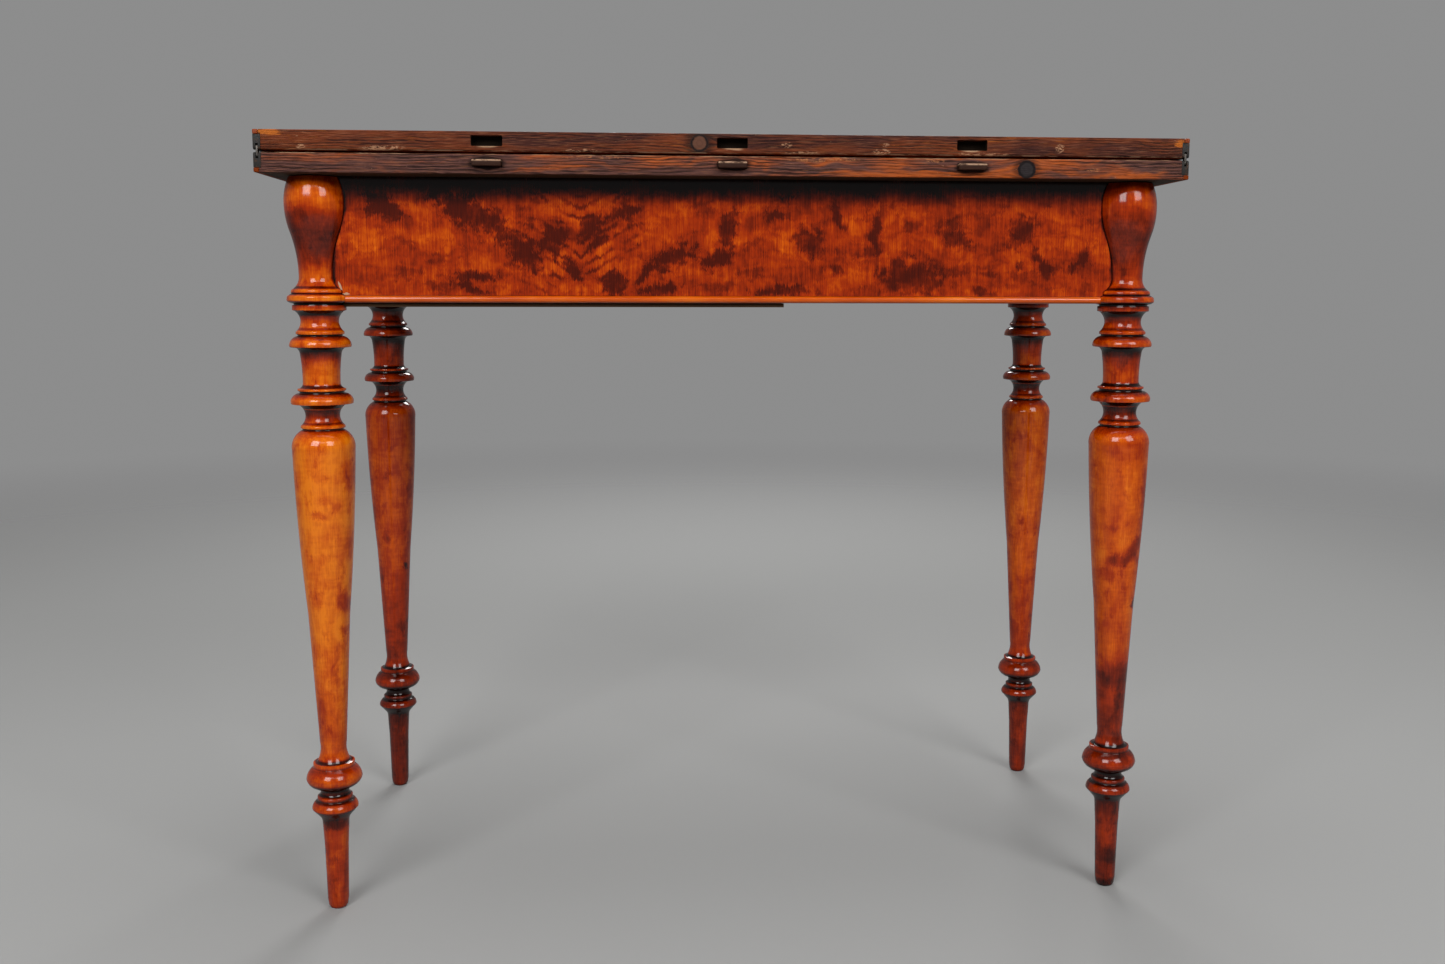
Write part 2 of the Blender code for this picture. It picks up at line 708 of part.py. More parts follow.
def cut_hinge_recess(body, side, face_z, outward):
    inner = LEAF_LENGTH / 2 - HINGE_PLATE_THICKNESS - SEAT_GAP
    low, high = sorted((side * inner, side * (LEAF_LENGTH / 2 + OVERRUN)))
    cut(body, prism("recess", hinge_recess_outline(face_z, outward), "X", low, high))


def tongue_places():
    return [TONGUE_SPACING * n for n in range(-TONGUE_SIDE_COUNT, TONGUE_SIDE_COUNT + 1)]


def leaf_core(face_z, outward):
    half_length = LEAF_LENGTH / 2 - LIPPING_THICKNESS - SEAT_GAP
    far_y = LEAF_DEPTH / 2 - LIPPING_THICKNESS - SEAT_GAP
    core = prism("core", leaf_outline(far_y, face_z, outward), "X", -half_length, half_length)
    for side in (-1, 1):
        cut_hinge_recess(core, side, face_z, outward)
    return core


def end_lipping(side, face_z, outward):
    outer = LEAF_LENGTH / 2
    low, high = sorted((side * (outer - LIPPING_THICKNESS), side * outer))
    lipping = prism("lipping", leaf_outline(LEAF_DEPTH / 2, face_z, outward), "X", low, high)
    middle = side * (outer - LIPPING_THICKNESS / 2)
    outside = {
        -1: lambda point: point.x < middle,
        1: lambda point: point.x > middle,
    }[side]
    bevel_edges(lipping, LIPPING_ARRIS, 2, outside)
    cut_hinge_recess(lipping, side, face_z, outward)
    return lipping


def long_lipping(face_z, outward):
    half_length = LEAF_LENGTH / 2 - LIPPING_THICKNESS - SEAT_GAP
    far_y = LEAF_DEPTH / 2
    low, high = sorted((face_z, face_z + outward * LEAF_THICKNESS))
    lipping = block(
        "lipping", (-half_length, far_y - LIPPING_THICKNESS, low), (half_length, far_y, high)
    )
    middle = far_y - LIPPING_THICKNESS / 2
    bevel_edges(lipping, LIPPING_ARRIS, 2, lambda point: point.y > middle)
    return lipping


def hinge_plate_outline():
    """The plate's side view: an ear round the pin at one end and a round tail."""
    tail_radius = HINGE_PLATE_HEIGHT / 2
    bottom = HINGE_PIN_DEPTH - EAR_RADIUS + HINGE_PLATE_HEIGHT
    tail = (
        HINGE_PIN_Y - EAR_RADIUS + HINGE_PLATE_LENGTH - tail_radius,
        bottom - tail_radius,
    )
    ear = (HINGE_PIN_Y, HINGE_PIN_DEPTH)
    outline = arc(ear, EAR_RADIUS, math.pi, 3 * math.pi / 2, SMALL_ARC_STEPS)
    outline += arc(tail, tail_radius, -math.pi / 2, math.pi / 2, FINE_ARC_STEPS)
    outline += [(HINGE_PIN_Y - EAR_RADIUS, bottom)]
    return outline


def cross_pin(name, radius, half_length, y, z):
    """A round bar along X, centred on a link's middle plane at X = 0."""
    profile = [(0, half_length), (radius, half_length), (radius, -half_length), (0, -half_length)]
    return move(turn(lathe(name, profile, ROUND_SIDES), math.pi / 2, "Y"), (0, y, z))


def hinge_plate(side, face_z, outward):
    half = HINGE_PLATE_THICKNESS / 2
    outline = [(y, face_z + outward * depth) for y, depth in hinge_plate_outline()]
    plate = prism("plate", outline, "X", -half, half)
    slot_y = HINGE_PIN_Y + LINK_EYE_RADIUS + LINK_SLOT_MARGIN
    slot_depth = HINGE_PIN_DEPTH + LINK_EYE_RADIUS + LINK_SLOT_MARGIN
    slot_half = LINK_THICKNESS / 2 + LINK_SIDE_GAP
    low, high = sorted((face_z - outward * OVERRUN, face_z + outward * slot_depth))
    cut(plate, block("slot", (-slot_half, MEETING_Y - OVERRUN, low), (slot_half, slot_y, high)))
    pin_z = face_z + outward * HINGE_PIN_DEPTH
    bore = HINGE_PIN_RADIUS + PIN_GAP
    cut(plate, cross_pin("bore", bore, half + OVERRUN, HINGE_PIN_Y, pin_z))
    return move(plate, (side * LINK_MID_X, 0, 0))


def hinge_pin(side, face_z, outward):
    half_length = HINGE_PLATE_THICKNESS / 2 - HINGE_PIN_SET_IN
    pin_z = face_z + outward * HINGE_PIN_DEPTH
    pin = cross_pin("pin", HINGE_PIN_RADIUS, half_length, HINGE_PIN_Y, pin_z)
    return move(pin, (side * LINK_MID_X, 0, 0))


def hinge_link(side):
    """Two eyes on a straight waist, standing upright between the closed leaves."""
    low_z = LOWER_FACE_Z - HINGE_PIN_DEPTH
    high_z = UPPER_FACE_Z + HINGE_PIN_DEPTH
    half = LINK_THICKNESS / 2
    outline = arc((HINGE_PIN_Y, high_z), LINK_EYE_RADIUS, 0, math.pi, 2 * SMALL_ARC_STEPS)
    outline += arc(
        (HINGE_PIN_Y, low_z), LINK_EYE_RADIUS, math.pi, 2 * math.pi, 2 * SMALL_ARC_STEPS
    )
    link = prism("link", outline, "X", -half, half)
    bore = HINGE_PIN_RADIUS + PIN_GAP
    for pin_z in (low_z, high_z):
        cut(link, cross_pin("bore", bore, half + OVERRUN, HINGE_PIN_Y, pin_z))
    return move(link, (side * LINK_MID_X, 0, 0))


def tongue(x, grow):
    """A loose tongue in the lower leaf's meeting edge, or its mortise there."""
    half_width = TONGUE_WIDTH / 2 + grow
    top = LOWER_FACE_Z - TONGUE_DEPTH_BELOW_FACE + grow
    bottom = LOWER_FACE_Z - TONGUE_DEPTH_BELOW_FACE - TONGUE_THICKNESS - grow
    front = MEETING_Y - TONGUE_REACH
    back = MEETING_Y + TONGUE_ROOT + grow
    return block("tongue", (x - half_width, front, bottom), (x + half_width, back, top))


def upper_mortise(x):
    """The mortise that takes a tongue; its heel is open towards the outer face."""
    half_width = MORTISE_WIDTH / 2
    low = UPPER_FACE_Z + TONGUE_DEPTH_BELOW_FACE - MORTISE_TOP_CLEARANCE
    high = UPPER_FACE_Z + TONGUE_DEPTH_BELOW_FACE + TONGUE_THICKNESS + MORTISE_HEEL_CLEARANCE
    back = MEETING_Y + TONGUE_REACH + MORTISE_END_CLEARANCE
    return block(
        "mortise", (x - half_width, MEETING_Y - OVERRUN, low), (x + half_width, back, high)
    )


def add_leaf(prefix, face_z, outward, core, looks, axis_point, parent):
    pine, birch, iron, steel = looks
    finish(core, prefix + "_leaf_core", pine, axis_point, parent)
    finish(long_lipping(face_z, outward), prefix + "_leaf_long_lipping", birch, axis_point, parent)
    for side_name, side in (("left", -1), ("right", 1)):
        name = prefix + "_leaf_" + side_name
        finish(end_lipping(side, face_z, outward), name + "_lipping", birch, axis_point, parent)
        finish(
            hinge_plate(side, face_z, outward), name + "_hinge_plate", iron, axis_point, parent
        )
        finish(hinge_pin(side, face_z, outward), name + "_hinge_pin", steel, axis_point, parent)


def add_lower_leaf(looks, swivel):
    birch = looks[1]
    core = leaf_core(LOWER_FACE_Z, -1)
    for x in tongue_places():
        cut(core, tongue(x, SEAT_GAP))
    recess_top = UNDERSIDE_Z + 2 * SEAT_GAP + PIVOT_PLATE_THICKNESS
    outline = pivot_plate_outline(SEAT_GAP)
    cut(core, prism("recess", outline, "Z", UNDERSIDE_Z - OVERRUN, recess_top))
    pin_hole_top = UNDERSIDE_Z + STOP_PIN_ROOT + SEAT_GAP
    radius = STOP_PIN_RADIUS + SEAT_GAP
    pin_x = PIVOT_X - STOP_RADIUS
    cut(core, cylinder("hole", pin_x, PIVOT_Y, radius, UNDERSIDE_Z - OVERRUN, pin_hole_top))
    axis_point = (PIVOT_X, PIVOT_Y, UNDERSIDE_Z)
    add_leaf("lower", LOWER_FACE_Z, -1, core, looks, axis_point, swivel)
    for name, x in zip(("left_tongue", "middle_tongue", "right_tongue"), tongue_places()):
        piece = tongue(x, 0)
        front = MEETING_Y - TONGUE_REACH / 2
        bevel_edges(piece, TONGUE_ARRIS, 1, lambda point: point.y < front)
        finish(piece, name, birch, axis_point, swivel)


def add_upper_leaf(looks, unfold, axis_point):
    core = leaf_core(UPPER_FACE_Z, 1)
    for x in tongue_places():
        cut(core, upper_mortise(x))
    add_leaf("upper", UPPER_FACE_Z, 1, core, looks, axis_point, unfold)


def centre_on_origin():
    """Puts the middle of the whole table, projecting tongues included, at the origin."""
    for body in bpy.data.objects:
        if not body.parent:
            body.location.y += TONGUE_REACH / 2


def build():
    clear_scene()
    birch = material("birch", (0.43, 0.14, 0.03), 0.25)
    flame_birch = material("flame_birch", (0.36, 0.10, 0.02), 0.25)
    pine = material("stained_pine", (0.13, 0.035, 0.018), 0.5)
    raw_pine = material("raw_pine", (0.42, 0.27, 0.13), 0.7)
    iron = material("blackened_iron", (0.02, 0.02, 0.02), 0.55, 0.8)
    steel = material("bright_steel", (0.55, 0.53, 0.50), 0.35, 1.0)

    add_legs(birch)
    add_frame_sides(raw_pine, flame_birch, birch)
    add_corner_blocks(raw_pine)
    add_card_well(raw_pine)

    low_z = LOWER_FACE_Z - HINGE_PIN_DEPTH
    high_z = UPPER_FACE_Z + HINGE_PIN_DEPTH
    swivel = joint_empty("top_swivel_axis", (PIVOT_X, PIVOT_Y, UNDERSIDE_Z))
    link_axes = {
        "left": joint_empty("left_link_axis", (-LINK_MID_X, HINGE_PIN_Y, low_z), swivel),
        "right": joint_empty("right_link_axis", (LINK_MID_X, HINGE_PIN_Y, low_z), swivel),
    }
    unfold_point = (-LINK_MID_X, HINGE_PIN_Y, high_z)
    unfold = joint_empty("leaf_unfold_axis", unfold_point, link_axes["left"])

    add_swivel_pivot(iron, birch, swivel)
    looks = (pine, birch, iron, steel)
    add_lower_leaf(looks, swivel)
    add_upper_leaf(looks, unfold, unfold_point)
    for side_name, side in (("left", -1), ("right", 1)):
        point = (side * LINK_MID_X, HINGE_PIN_Y, low_z)
        name = side_name + "_hinge_link"
        finish(hinge_link(side), name, steel, point, link_axes[side_name])
    centre_on_origin()


build()
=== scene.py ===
"""Looks of the fold-over games table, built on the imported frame."""

import math
from functools import cache

import bmesh
import bpy
from mathutils import Matrix, Vector, noise


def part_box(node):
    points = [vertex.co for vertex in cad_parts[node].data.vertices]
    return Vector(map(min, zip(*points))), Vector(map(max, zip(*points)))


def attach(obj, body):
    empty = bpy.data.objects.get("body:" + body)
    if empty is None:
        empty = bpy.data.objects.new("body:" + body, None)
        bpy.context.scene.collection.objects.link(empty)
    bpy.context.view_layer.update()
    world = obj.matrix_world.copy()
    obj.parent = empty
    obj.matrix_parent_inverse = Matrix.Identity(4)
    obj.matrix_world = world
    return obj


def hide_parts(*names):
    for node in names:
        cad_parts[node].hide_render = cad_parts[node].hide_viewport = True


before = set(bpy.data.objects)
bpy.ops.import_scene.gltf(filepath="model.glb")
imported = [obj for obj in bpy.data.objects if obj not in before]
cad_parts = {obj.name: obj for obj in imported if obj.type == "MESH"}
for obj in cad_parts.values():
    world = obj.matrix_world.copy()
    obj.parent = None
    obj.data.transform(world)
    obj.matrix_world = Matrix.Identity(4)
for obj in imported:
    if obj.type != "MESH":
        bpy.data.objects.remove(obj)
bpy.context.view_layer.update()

MM = 0.001

# Picture and camera
PICTURE_WIDTH = 1445
PICTURE_HEIGHT = 964
CAMERA_PLACE = (-78.7 * MM, -1536.2 * MM, 617 * MM)
CAMERA_YAW = math.radians(-4.151)
CAMERA_PITCH = math.radians(6.494)
CAMERA_ROLL = math.radians(-0.127)
FOCAL_PIXELS = 1384.9
PRINCIPAL_X = 749.9
PRINCIPAL_Y = 449.4
SENSOR_WIDTH = 36

# Stage
FLOOR_HALF = 9000 * MM
FLOOR_FADE_START = 1400 * MM
FLOOR_FADE_END = 4400 * MM
FLOOR_SEEN = (0.33, 0.33, 0.325)
FLOOR_BOUNCE = (0.10, 0.10, 0.10)
WORLD_BEHIND = 0.265
WORLD_AHEAD = 0.20
WORLD_FILL = 0.10
WORLD_TURN = 0.5
AIM_POINT = (0, 0, 450 * MM)
# Each lamp: its place, width and height in millimetres, and its power in watts
LAMPS = {
    "left_window": ((-1400, -2850, 2150), 1500, 1600, 75),
    "right_window": ((1600, -2600, 2150), 1400, 1600, 56),
    "front_strip": ((0, -2700, 2350), 3000, 300, 10),
    "overhead": ((0, 300, 3000), 2200, 2200, 34),
    "rear": ((400, 3200, 2600), 1600, 900, 70),
}

HANDS = (("left", -1), ("right", 1))
TONGUES = ("left", "middle", "right")

# Turned legs
LEG_TOP_Z = 724 * MM
LEG_SIDES = 64
LEG_RUN_X = 395 * MM
LEG_RUN_Y = 175 * MM
TABLE_SHIFT_Y = 3.5 * MM
# Where the legs are painted darker: how far along a leg a groove counts as one and how deep a full one
# is, for dirt and painted shade in the grooves, and how far below a ring its painted shade reaches and
# how steep the way past the ring is in full painted shade
HOLLOW_WINDOW = 2.6 * MM
HOLLOW_FULL = 4.4 * MM
HEIGHT_DIGITS = 3
SHADE_WINDOW = 26 * MM
SHADE_FULL = 1.6
SOFT_CORNER = 0.45 * MM
SOFT_ANGLE = math.radians(28)
SMOOTH_ANGLE = math.radians(40)
CORE_SMOOTH_ANGLE = math.radians(30)
ROUNDED_ANGLE = math.radians(30)
ROUND_STEPS = 2
WIDE_ROUND_STEPS = 4
SEAT_GAP = 0.3 * MM
OVERRUN = 3 * MM
# The sections of a leg from the top down, with their heights and greatest radii in millimetres
LEG_SECTIONS = {
    "bulb": (106, 29.4),
    "capital": (19.5, 29.6),
    "upper_spool": (36, 29),
    "middle_spool": (55, 29.4),
    "lower_spool": (24, 20.9),
    "shank": (331.5, 29.6),
    "ankle": (59, 27),
    "foot": (93, 13),
}
# Their turning points: share of the height and share of the radius, then the rise of the arc
# that leads there and its facets, unless the way there is one straight facet
TURNING_SHARES = {
    "bulb": (
        (0.00, 0.84), (0.23, 1.00, 0.054, 12), (0.48, 0.85, 0.042, 12), (0.88, 0.61, -0.041, 14),
        (1.00, 0.85, -0.14, 8),
    ),
    "capital": (
        (0.05, 0.865), (0.16, 0.870), (0.20, 0.850), (0.26, 0.930, 0.15, 3), (0.43, 1.000, 0.20, 5),
        (0.60, 0.950, 0.22, 5), (0.66, 0.860, 0.05, 2), (0.68, 0.790), (0.73, 0.790),
        (0.75, 0.850), (1.00, 0.850),
    ),
    "upper_spool": (
        (0.02, 0.780), (0.55, 0.750, -0.23, 14), (0.57, 0.780), (0.635, 0.780), (0.645, 0.720),
        (0.68, 0.715), (0.93, 1.000, 0.17, 9), (0.98, 0.985),
    ),
    "middle_spool": (
        (0.00, 0.770), (0.10, 0.660, -0.12, 5), (0.62, 0.598, -0.02, 6), (0.715, 0.770, -0.20, 6),
        (0.75, 0.770), (0.76, 0.710), (0.79, 0.710), (0.925, 1.000, 0.17, 9), (0.98, 0.985),
    ),
    "lower_spool": (
        (0.00, 1.030), (0.83, 0.980, -0.245, 14), (0.85, 1.000), (0.93, 1.000), (0.95, 0.920),
        (1.00, 0.920),
    ),
    "shank": (
        (0.06, 1.00, 0.165, 10), (0.55, 0.67, 0.008, 10), (0.94, 0.436), (1.00, 0.55, -0.09, 7),
    ),
    "ankle": (
        (0.01, 0.74), (0.09, 0.74), (0.29, 1.00, 0.12, 6), (0.44, 0.60, 0.18, 6),
        (0.585, 0.57, -0.25, 6), (0.60, 0.63), (0.67, 0.63), (0.81, 0.83, 0.15, 6),
        (0.97, 0.52, 0, 3),
    ),
    "foot": (
        (0.02, 1.00), (0.30, 0.89, 0, 3), (0.90, 0.79, 0, 3), (0.97, 0.72, 0, 2), (1.00, 0.58),
    ),
}

# Frame
RAIL_TOP_Z = 724.7 * MM
RAIL_BOTTOM_Z = 612.88 * MM
RAIL_FACE_IN = 12.5 * MM
FACING_IN = 7.8 * MM
FACING_OUT = 9 * MM
BEAD_TOP_Z = 612.58 * MM
BEAD_HEIGHT = 6.7 * MM
BEAD_BOTTOM_Z = BEAD_TOP_Z - BEAD_HEIGHT
BEAD_REACH = 3.5 * MM
BEAD_BARE = 2 * MM
BEAD_STEPS = 16

# Leaves
# Seeds of the wear of each leaf. Each kind of wear adds its own
LEAF_SEEDS = {"lower": 3, "upper": 11}
LEAF_HALF_LENGTH = 440 * MM
LEAF_STATIONS = 260
ARRIS_STEPS = 5
ARRIS_PLAYING = 2.0 * MM
ARRIS_OUTER = 0.5 * MM
ARRIS_WEAR = 0.9 * MM
PLAYING_WEAR_PITCH = 60 * MM
OUTER_WEAR_PITCH = 35 * MM
OUTER_WEAR_SEED = 5
FACE_WEAR = 0.25 * MM
FACE_WEAR_PITCH = 90 * MM
FACE_WEAR_SEED = 9
CHIP_PITCH = 9 * MM
CHIP_DEPTH = 4 * MM
CHIP_SEED = 20
CHIP_START = 0.42
FACE_TOLERANCE = 0.1 * MM
FLAT_NORMAL = 0.9
POCKET_START = 3 * MM
POCKET_ROUND = 1.2 * MM
MORTISE_WIDTH = 29 * MM
MORTISE_DEPTH = 12 * MM
MORTISE_BOTTOM = 5 * MM
MORTISE_TOP = 15 * MM
TONGUE_GAP = 0.6 * MM
TONGUE_ROUND = 1.0 * MM
TONGUE_WEAR = 2.0 * MM
LIPPING_ROUND = 1.1 * MM
LIPPING_CORNER_STEPS = 6

# Link hinges and pivot
PLATE_HEIGHT = 14 * MM
PLATE_THICKNESS = 7 * MM
PLATE_DEPTH_MIDDLE = 7.15 * MM
PLATE_TAIL_Y = -162.65 * MM
PLATE_ROUND = 0.35 * MM
TAIL_STEPS = 20
EAR_STEPS = 8
PIN_GAP = 0.1 * MM
PIN_ROUND = 0.15 * MM
PIN_SIDES = 32
LINK_ROUND = 0.3 * MM
LINK_STEPS = 16
SLOT_SIDE_GAP = 0.2 * MM
SLOT_MARGIN = 0.8 * MM
SCREW_SHARES = (0.30, 0.80)
SCREW_RADIUS = 3.4 * MM
SCREW_DEPTH = 1.8 * MM
SCREW_WAIST_SHARE = 0.5
SCREW_SLOT = 0.8 * MM
SCREW_TURNS = (math.radians(35), math.radians(105))
SCREW_SET_IN = 0.1 * MM
SCREW_SIDES = 32
SINK_GAP = 0.15 * MM
PIVOT_PLATE_THICKNESS = 3 * MM
PIVOT_PLATE_STEPS = 24
PIVOT_BOLT_RADIUS = 6 * MM
PIVOT_SIDES = 48
BOLT_ROUND = 1.0 * MM
NUT_ROUND = 0.8 * MM
NUT_ROUND_STEPS = 3

# Tones of old shellacked birch, from its darkest figure to its palest wear
BIRCH_TONES = (
    (0.00, (0.010, 0.0010, 0.0003)),
    (0.20, (0.056, 0.0038, 0.0003)),
    (0.40, (0.150, 0.0102, 0.0003)),
    (0.60, (0.340, 0.0250, 0.0003)),
    (0.80, (0.570, 0.0820, 0.0004)),
    (1.00, (0.780, 0.1900, 0.0050)),
)
# The same finish where light has faded it: the top and the playing faces
FADED_TONES = (
    (0.00, (0.014, 0.0020, 0.0006)),
    (0.20, (0.060, 0.0068, 0.0010)),
    (0.40, (0.140, 0.0200, 0.0025)),
    (0.60, (0.260, 0.0460, 0.0050)),
    (0.80, (0.420, 0.0980, 0.0100)),
    (1.00, (0.600, 0.1850, 0.0260)),
)
BARE_BIRCH = (0.46, 0.29, 0.18)
# Weight and roughness of the coat of shellac
NO_COAT = (0, 0.1)
FINE_GLOSS = (0.70, 0.12)
WORN_GLOSS = (0.20, 0.30)
BEAD_GLOSS = (1.0, 0.17)
# Depth of each finish's relief in millimetres
RELIEFS = {
    "birch": 0.30, "edge": 0.45, "pocket": 0.3, "tongue": 0.3, "raw": 0.4, "iron": 0.15,
    "steel": 0.05,
}

# Length of the features of each noise along X, Y and Z, in millimetres. In a veneer these run
# off its joint, through the log and along the grain
GRAINS = {
    "fray": (0.9, 40, 16),
    "mark_bend": (9, 9, 9),
    "leg_streak": (1.1, 1.1, 30),
    "leg_band": (8, 8, 80),
    "leg_cloud": (15, 15, 24),
    "leg_ripple": (16, 16, 3.4),
    "leg_blotch": (16, 16, 22),
    "leg_uneven": (13, 13, 17),
    "chip_grit": (2.6, 2.6, 3.4),
    "flame_streak": (0.9, 30, 24),
    "flame_band": (7, 60, 70),
    "flame_cloud": (46, 60, 26),
    "flame_bend": (26, 60, 20),
    "flame_patch": (30, 60, 22),
    "flame_ripple": (15, 60, 3.2),
    "flame_figure": (30, 60, 15),
    "flame_ragged": (9, 60, 6),
    "flame_uneven": (16, 16, 16),
    "playing_streak": (32, 0.9, 30),
    "playing_bend": (50, 24, 60),
    "playing_cloud": (110, 36, 60),
    "playing_ripple": (6, 20, 60),
    "playing_figure": (34, 14, 60),
    "bead_streak": (18, 18, 1),
    "bead_band": (60, 60, 30),
    "lipping_streak": (22, 22, 0.9),
    "lipping_band": (40, 40, 14),
    "lipping_stain": (30, 30, 9),
    "knot_bend": (4, 4, 4),
    "edge_bend": (70, 70, 14),
    "edge_strength": (60, 60, 9),
    "edge_fibre": (16, 2, 0.6),
    "edge_tint_bend": (60, 60, 60),
    "edge_tint": (90, 60, 10),
    "edge_scuff": (3.2, 3.2, 1.5),
    "arris_patch": (16, 10, 3),
    "arris_scratch": (5, 5, 2.2),
    "pocket_fibre": (12, 2, 0.8),
    "tongue_fibre": (9, 9, 0.7),
    "tongue_patch": (6, 4, 3),
    "raw_bend": (120, 120, 120),
    "raw_dust": (60, 60, 60),
    "raw_board": (60, 3, 2),
    "raw_underside": (60, 2.2, 20),
    "raw_pivot_plank": (3, 60, 3),
    "raw_card_well_divider": (3, 60, 2.2),
    "raw_card_well_bottom": (60, 2.5, 20),
    "raw_left_rail": (3, 60, 2),
    "raw_right_rail": (3, 60, 2),
    "raw_pin": (2, 2, 20),
    "iron_pits": (1.2, 1.2, 1.2),
    "iron_rust": (4, 4, 4),
    "steel_scratch": (0.25, 0.25, 3),
    "steel_rust": (1.6, 1.6, 1.6),
}
# How far some of them push what they bend, in millimetres
REACHES = {
    "mark_bend": 12, "leg_cloud": 14, "chip_grit": 3, "flame_cloud": 34, "flame_bend": 16,
    "flame_figure": 20, "playing_bend": 26, "knot_bend": 2.2, "edge_bend": 9,
    "edge_tint_bend": 30, "raw_bend": 6,
}
FRAY_REACH = 13 * MM

# Tones and marks of the legs
LEG_TONES = {
    "front_left_leg": 0.94,
    "front_right_leg": 0.77,
    "back_left_leg": 0.67,
    "back_right_leg": 0.77,
}
# Share of a leg's height, and how much darker it is painted there: a darker finish, and on the bulb's
# lower half also painted shade under the top
LEG_DARKENING = (
    (0.00, 0.38), (0.12, 0.31), (0.21, 0.22), (0.28, 0.14), (0.41, 0.04), (0.55, 0.00),
    (0.66, 0.01), (0.68, 0.09), (0.82, 0.10), (0.84, 0.06), (0.855, 0.08), (0.875, 0.18),
    (0.90, 0.36), (0.93, 0.41), (0.95, 0.32), (0.97, 0.12), (1.00, 0.25),
)
# Dark marks on single legs: place off the axis, height, half width and half height, all in
# millimetres, then tilt in degrees and strength
LEG_MARKS = {
    "front_left_leg": (
        # The first mark darkens the middle of the bulb: darker finish, with painted shade under the
        # top
        (0, 668, 70, 40, 0, 0.20), (-1, 402, 12, 5, 0, 0.22), (2, 440, 10, 9, -20, 0.12),
        (29, 439, 12, 26, 10, 0.30), (20, 370, 10, 30, -6, 0.16), (18, 314, 8, 18, 15, 0.26),
        (17, 286, 7, 8, 0, 0.26), (-8, 205, 8, 26, 0, 0.12), (0, 90, 22, 9, 0, 0.30),
        (0, 52, 9, 6, 0, 0.14),
    ),
    "front_right_leg": (
        (-4, 349, 18, 9, 8, 0.26), (13, 362, 10, 20, -30, 0.28), (-13, 334, 9, 12, 35, 0.20),
        (24, 405, 10, 50, 0, 0.20), (4, 462, 34, 18, 0, 0.14), (16, 302, 5, 8, 0, 0.45),
        (0, 228, 36, 20, 0, 0.24), (0, 190, 60, 62, 0, 0.14), (2, 202, 5, 26, 0, 0.18),
        (0, 33, 16, 16, 0, 0.25), (0, 4, 20, 9, 0, 0.30),
    ),
    "back_left_leg": ((15, 280, 4, 6, 0, 0.45),),
    "back_right_leg": (),
}
BULB_STOP_SHARES = (0, 0.08, 0.17, 0.27, 0.37, 0.47, 0.57, 0.67, 0.77, 0.85, 0.93, 1)
# Reach of the dirt and painted shade along the seams of the bulbs and the apron facings: on the bulb,
# on the apron beside it, and how low it goes
SEAM_REACH = 2.5 * MM
SEAM_WIDTH = 4.5 * MM
SEAM_BOTTOM_Z = 606 * MM

# Veneers: the joint about which the front is book-matched, and its plain joints
APRON_MIRROR = -144 * MM
APRON_JOINTS = (84 * MM, 146 * MM)
# Each sheet: its place in the log in millimetres, its tone and the level of its figure
VENEERS = {
    "front": (0, 0.505, 0.54),
    "back": (700, 0.58, 0.54),
    "left": (1400, 0.58, 0.54),
    "right": (2100, 0.58, 0.54),
    "top": (2900, 0.62, 0.56),
}
SLICE_STEP = 300 * MM
FLAME_PITCH = 11 * MM
FLAME_SLOPE = 0.55
FLAME_REACH = 95 * MM
FIGURE_BLUR = 0.08
FIGURE_FLOOR = 0.18
# How much the front darkens along each metre to the right
FRONT_FALL = -0.06
# The apron is painted darker between these heights: painted shadow of the top's overhang, with some
# grime. The sway also bends the painted shade beside the legs
GRIME_AND_SHADOW_BOTTOM_Z = 695 * MM
GRIME_AND_SHADOW_TOP_Z = 722 * MM
GRIME_AND_SHADE_SWAY = 4 * MM
# Chips out of the front veneer in millimetres: across, height, half width and half height,
# then tilt in degrees
FRONT_CHIPS = ((-372.5, 621, 1.5, 7, 20), (-367, 614, 4.5, 1.4, 0))
CHIP_THROUGH = 1000 * MM
MARK_GROWTH = 1.6
# The marks lose their hard outline between these places across the front
MARK_SOFTENING = (-40 * MM, 120 * MM)
# Dark figure marks of the front: place across and up, half length as shares of the half
# length, half width as a share of the height, and tilt in degrees
APRON_MARK_SHARES = (
    (-0.655, 0.70, 0.105, 0.12, -22), (-0.529, 0.39, 0.066, 0.11, -45),
    (-0.450, 0.47, 0.034, 0.14, -42), (-0.650, 0.17, 0.068, 0.05, 3),
    (-0.658, 0.06, 0.042, 0.04, -25), (-0.868, 0.73, 0.047, 0.09, -14),
    (-0.355, 0.60, 0.034, 0.08, 38), (-0.276, 0.71, 0.047, 0.05, 17),
    (-0.342, 0.44, 0.026, 0.04, 37), (-0.150, 0.33, 0.068, 0.07, 18),
    (-0.211, 0.21, 0.034, 0.04, 38), (-0.295, 0.10, 0.034, 0.11, 38),
    (-0.397, 0.21, 0.018, 0.13, 34), (-0.179, 0.06, 0.050, 0.06, 6),
    (-0.003, 0.57, 0.050, 0.07, 74), (-0.032, 0.32, 0.047, 0.08, 27),
    (0.108, 0.70, 0.021, 0.04, -7), (0.205, 0.47, 0.039, 0.11, -15),
    (0.132, 0.05, 0.087, 0.04, 2), (0.276, 0.71, 0.042, 0.04, -59),
    (0.271, 0.23, 0.018, 0.04, -33), (0.376, 0.56, 0.055, 0.04, 91),
    (0.463, 0.17, 0.084, 0.14, -5), (0.590, 0.51, 0.038, 0.06, -10),
    (0.758, 0.56, 0.042, 0.11, 40), (0.813, 0.28, 0.042, 0.05, -62),
    (0.758, 0.27, 0.008, 0.03, -29), (0.916, 0.33, 0.045, 0.04, 43),
    (0.650, 0.04, 0.024, 0.04, -26),
)

# Knots of the meeting edges: place across as a share of the half length, place up and radius
# as shares of the thickness
KNOT_SHARES = {
    "upper": ((-0.071, 0.52, 0.50), (0.52, 0.62, 0.12)),
    "lower": ((0.647, 0.45, 0.50), (-0.525, 0.55, 0.22), (0.01, 0.55, 0.20)),
}
KNOT_ROUNDNESS = 0.6
KNOT_CORE = 0.8
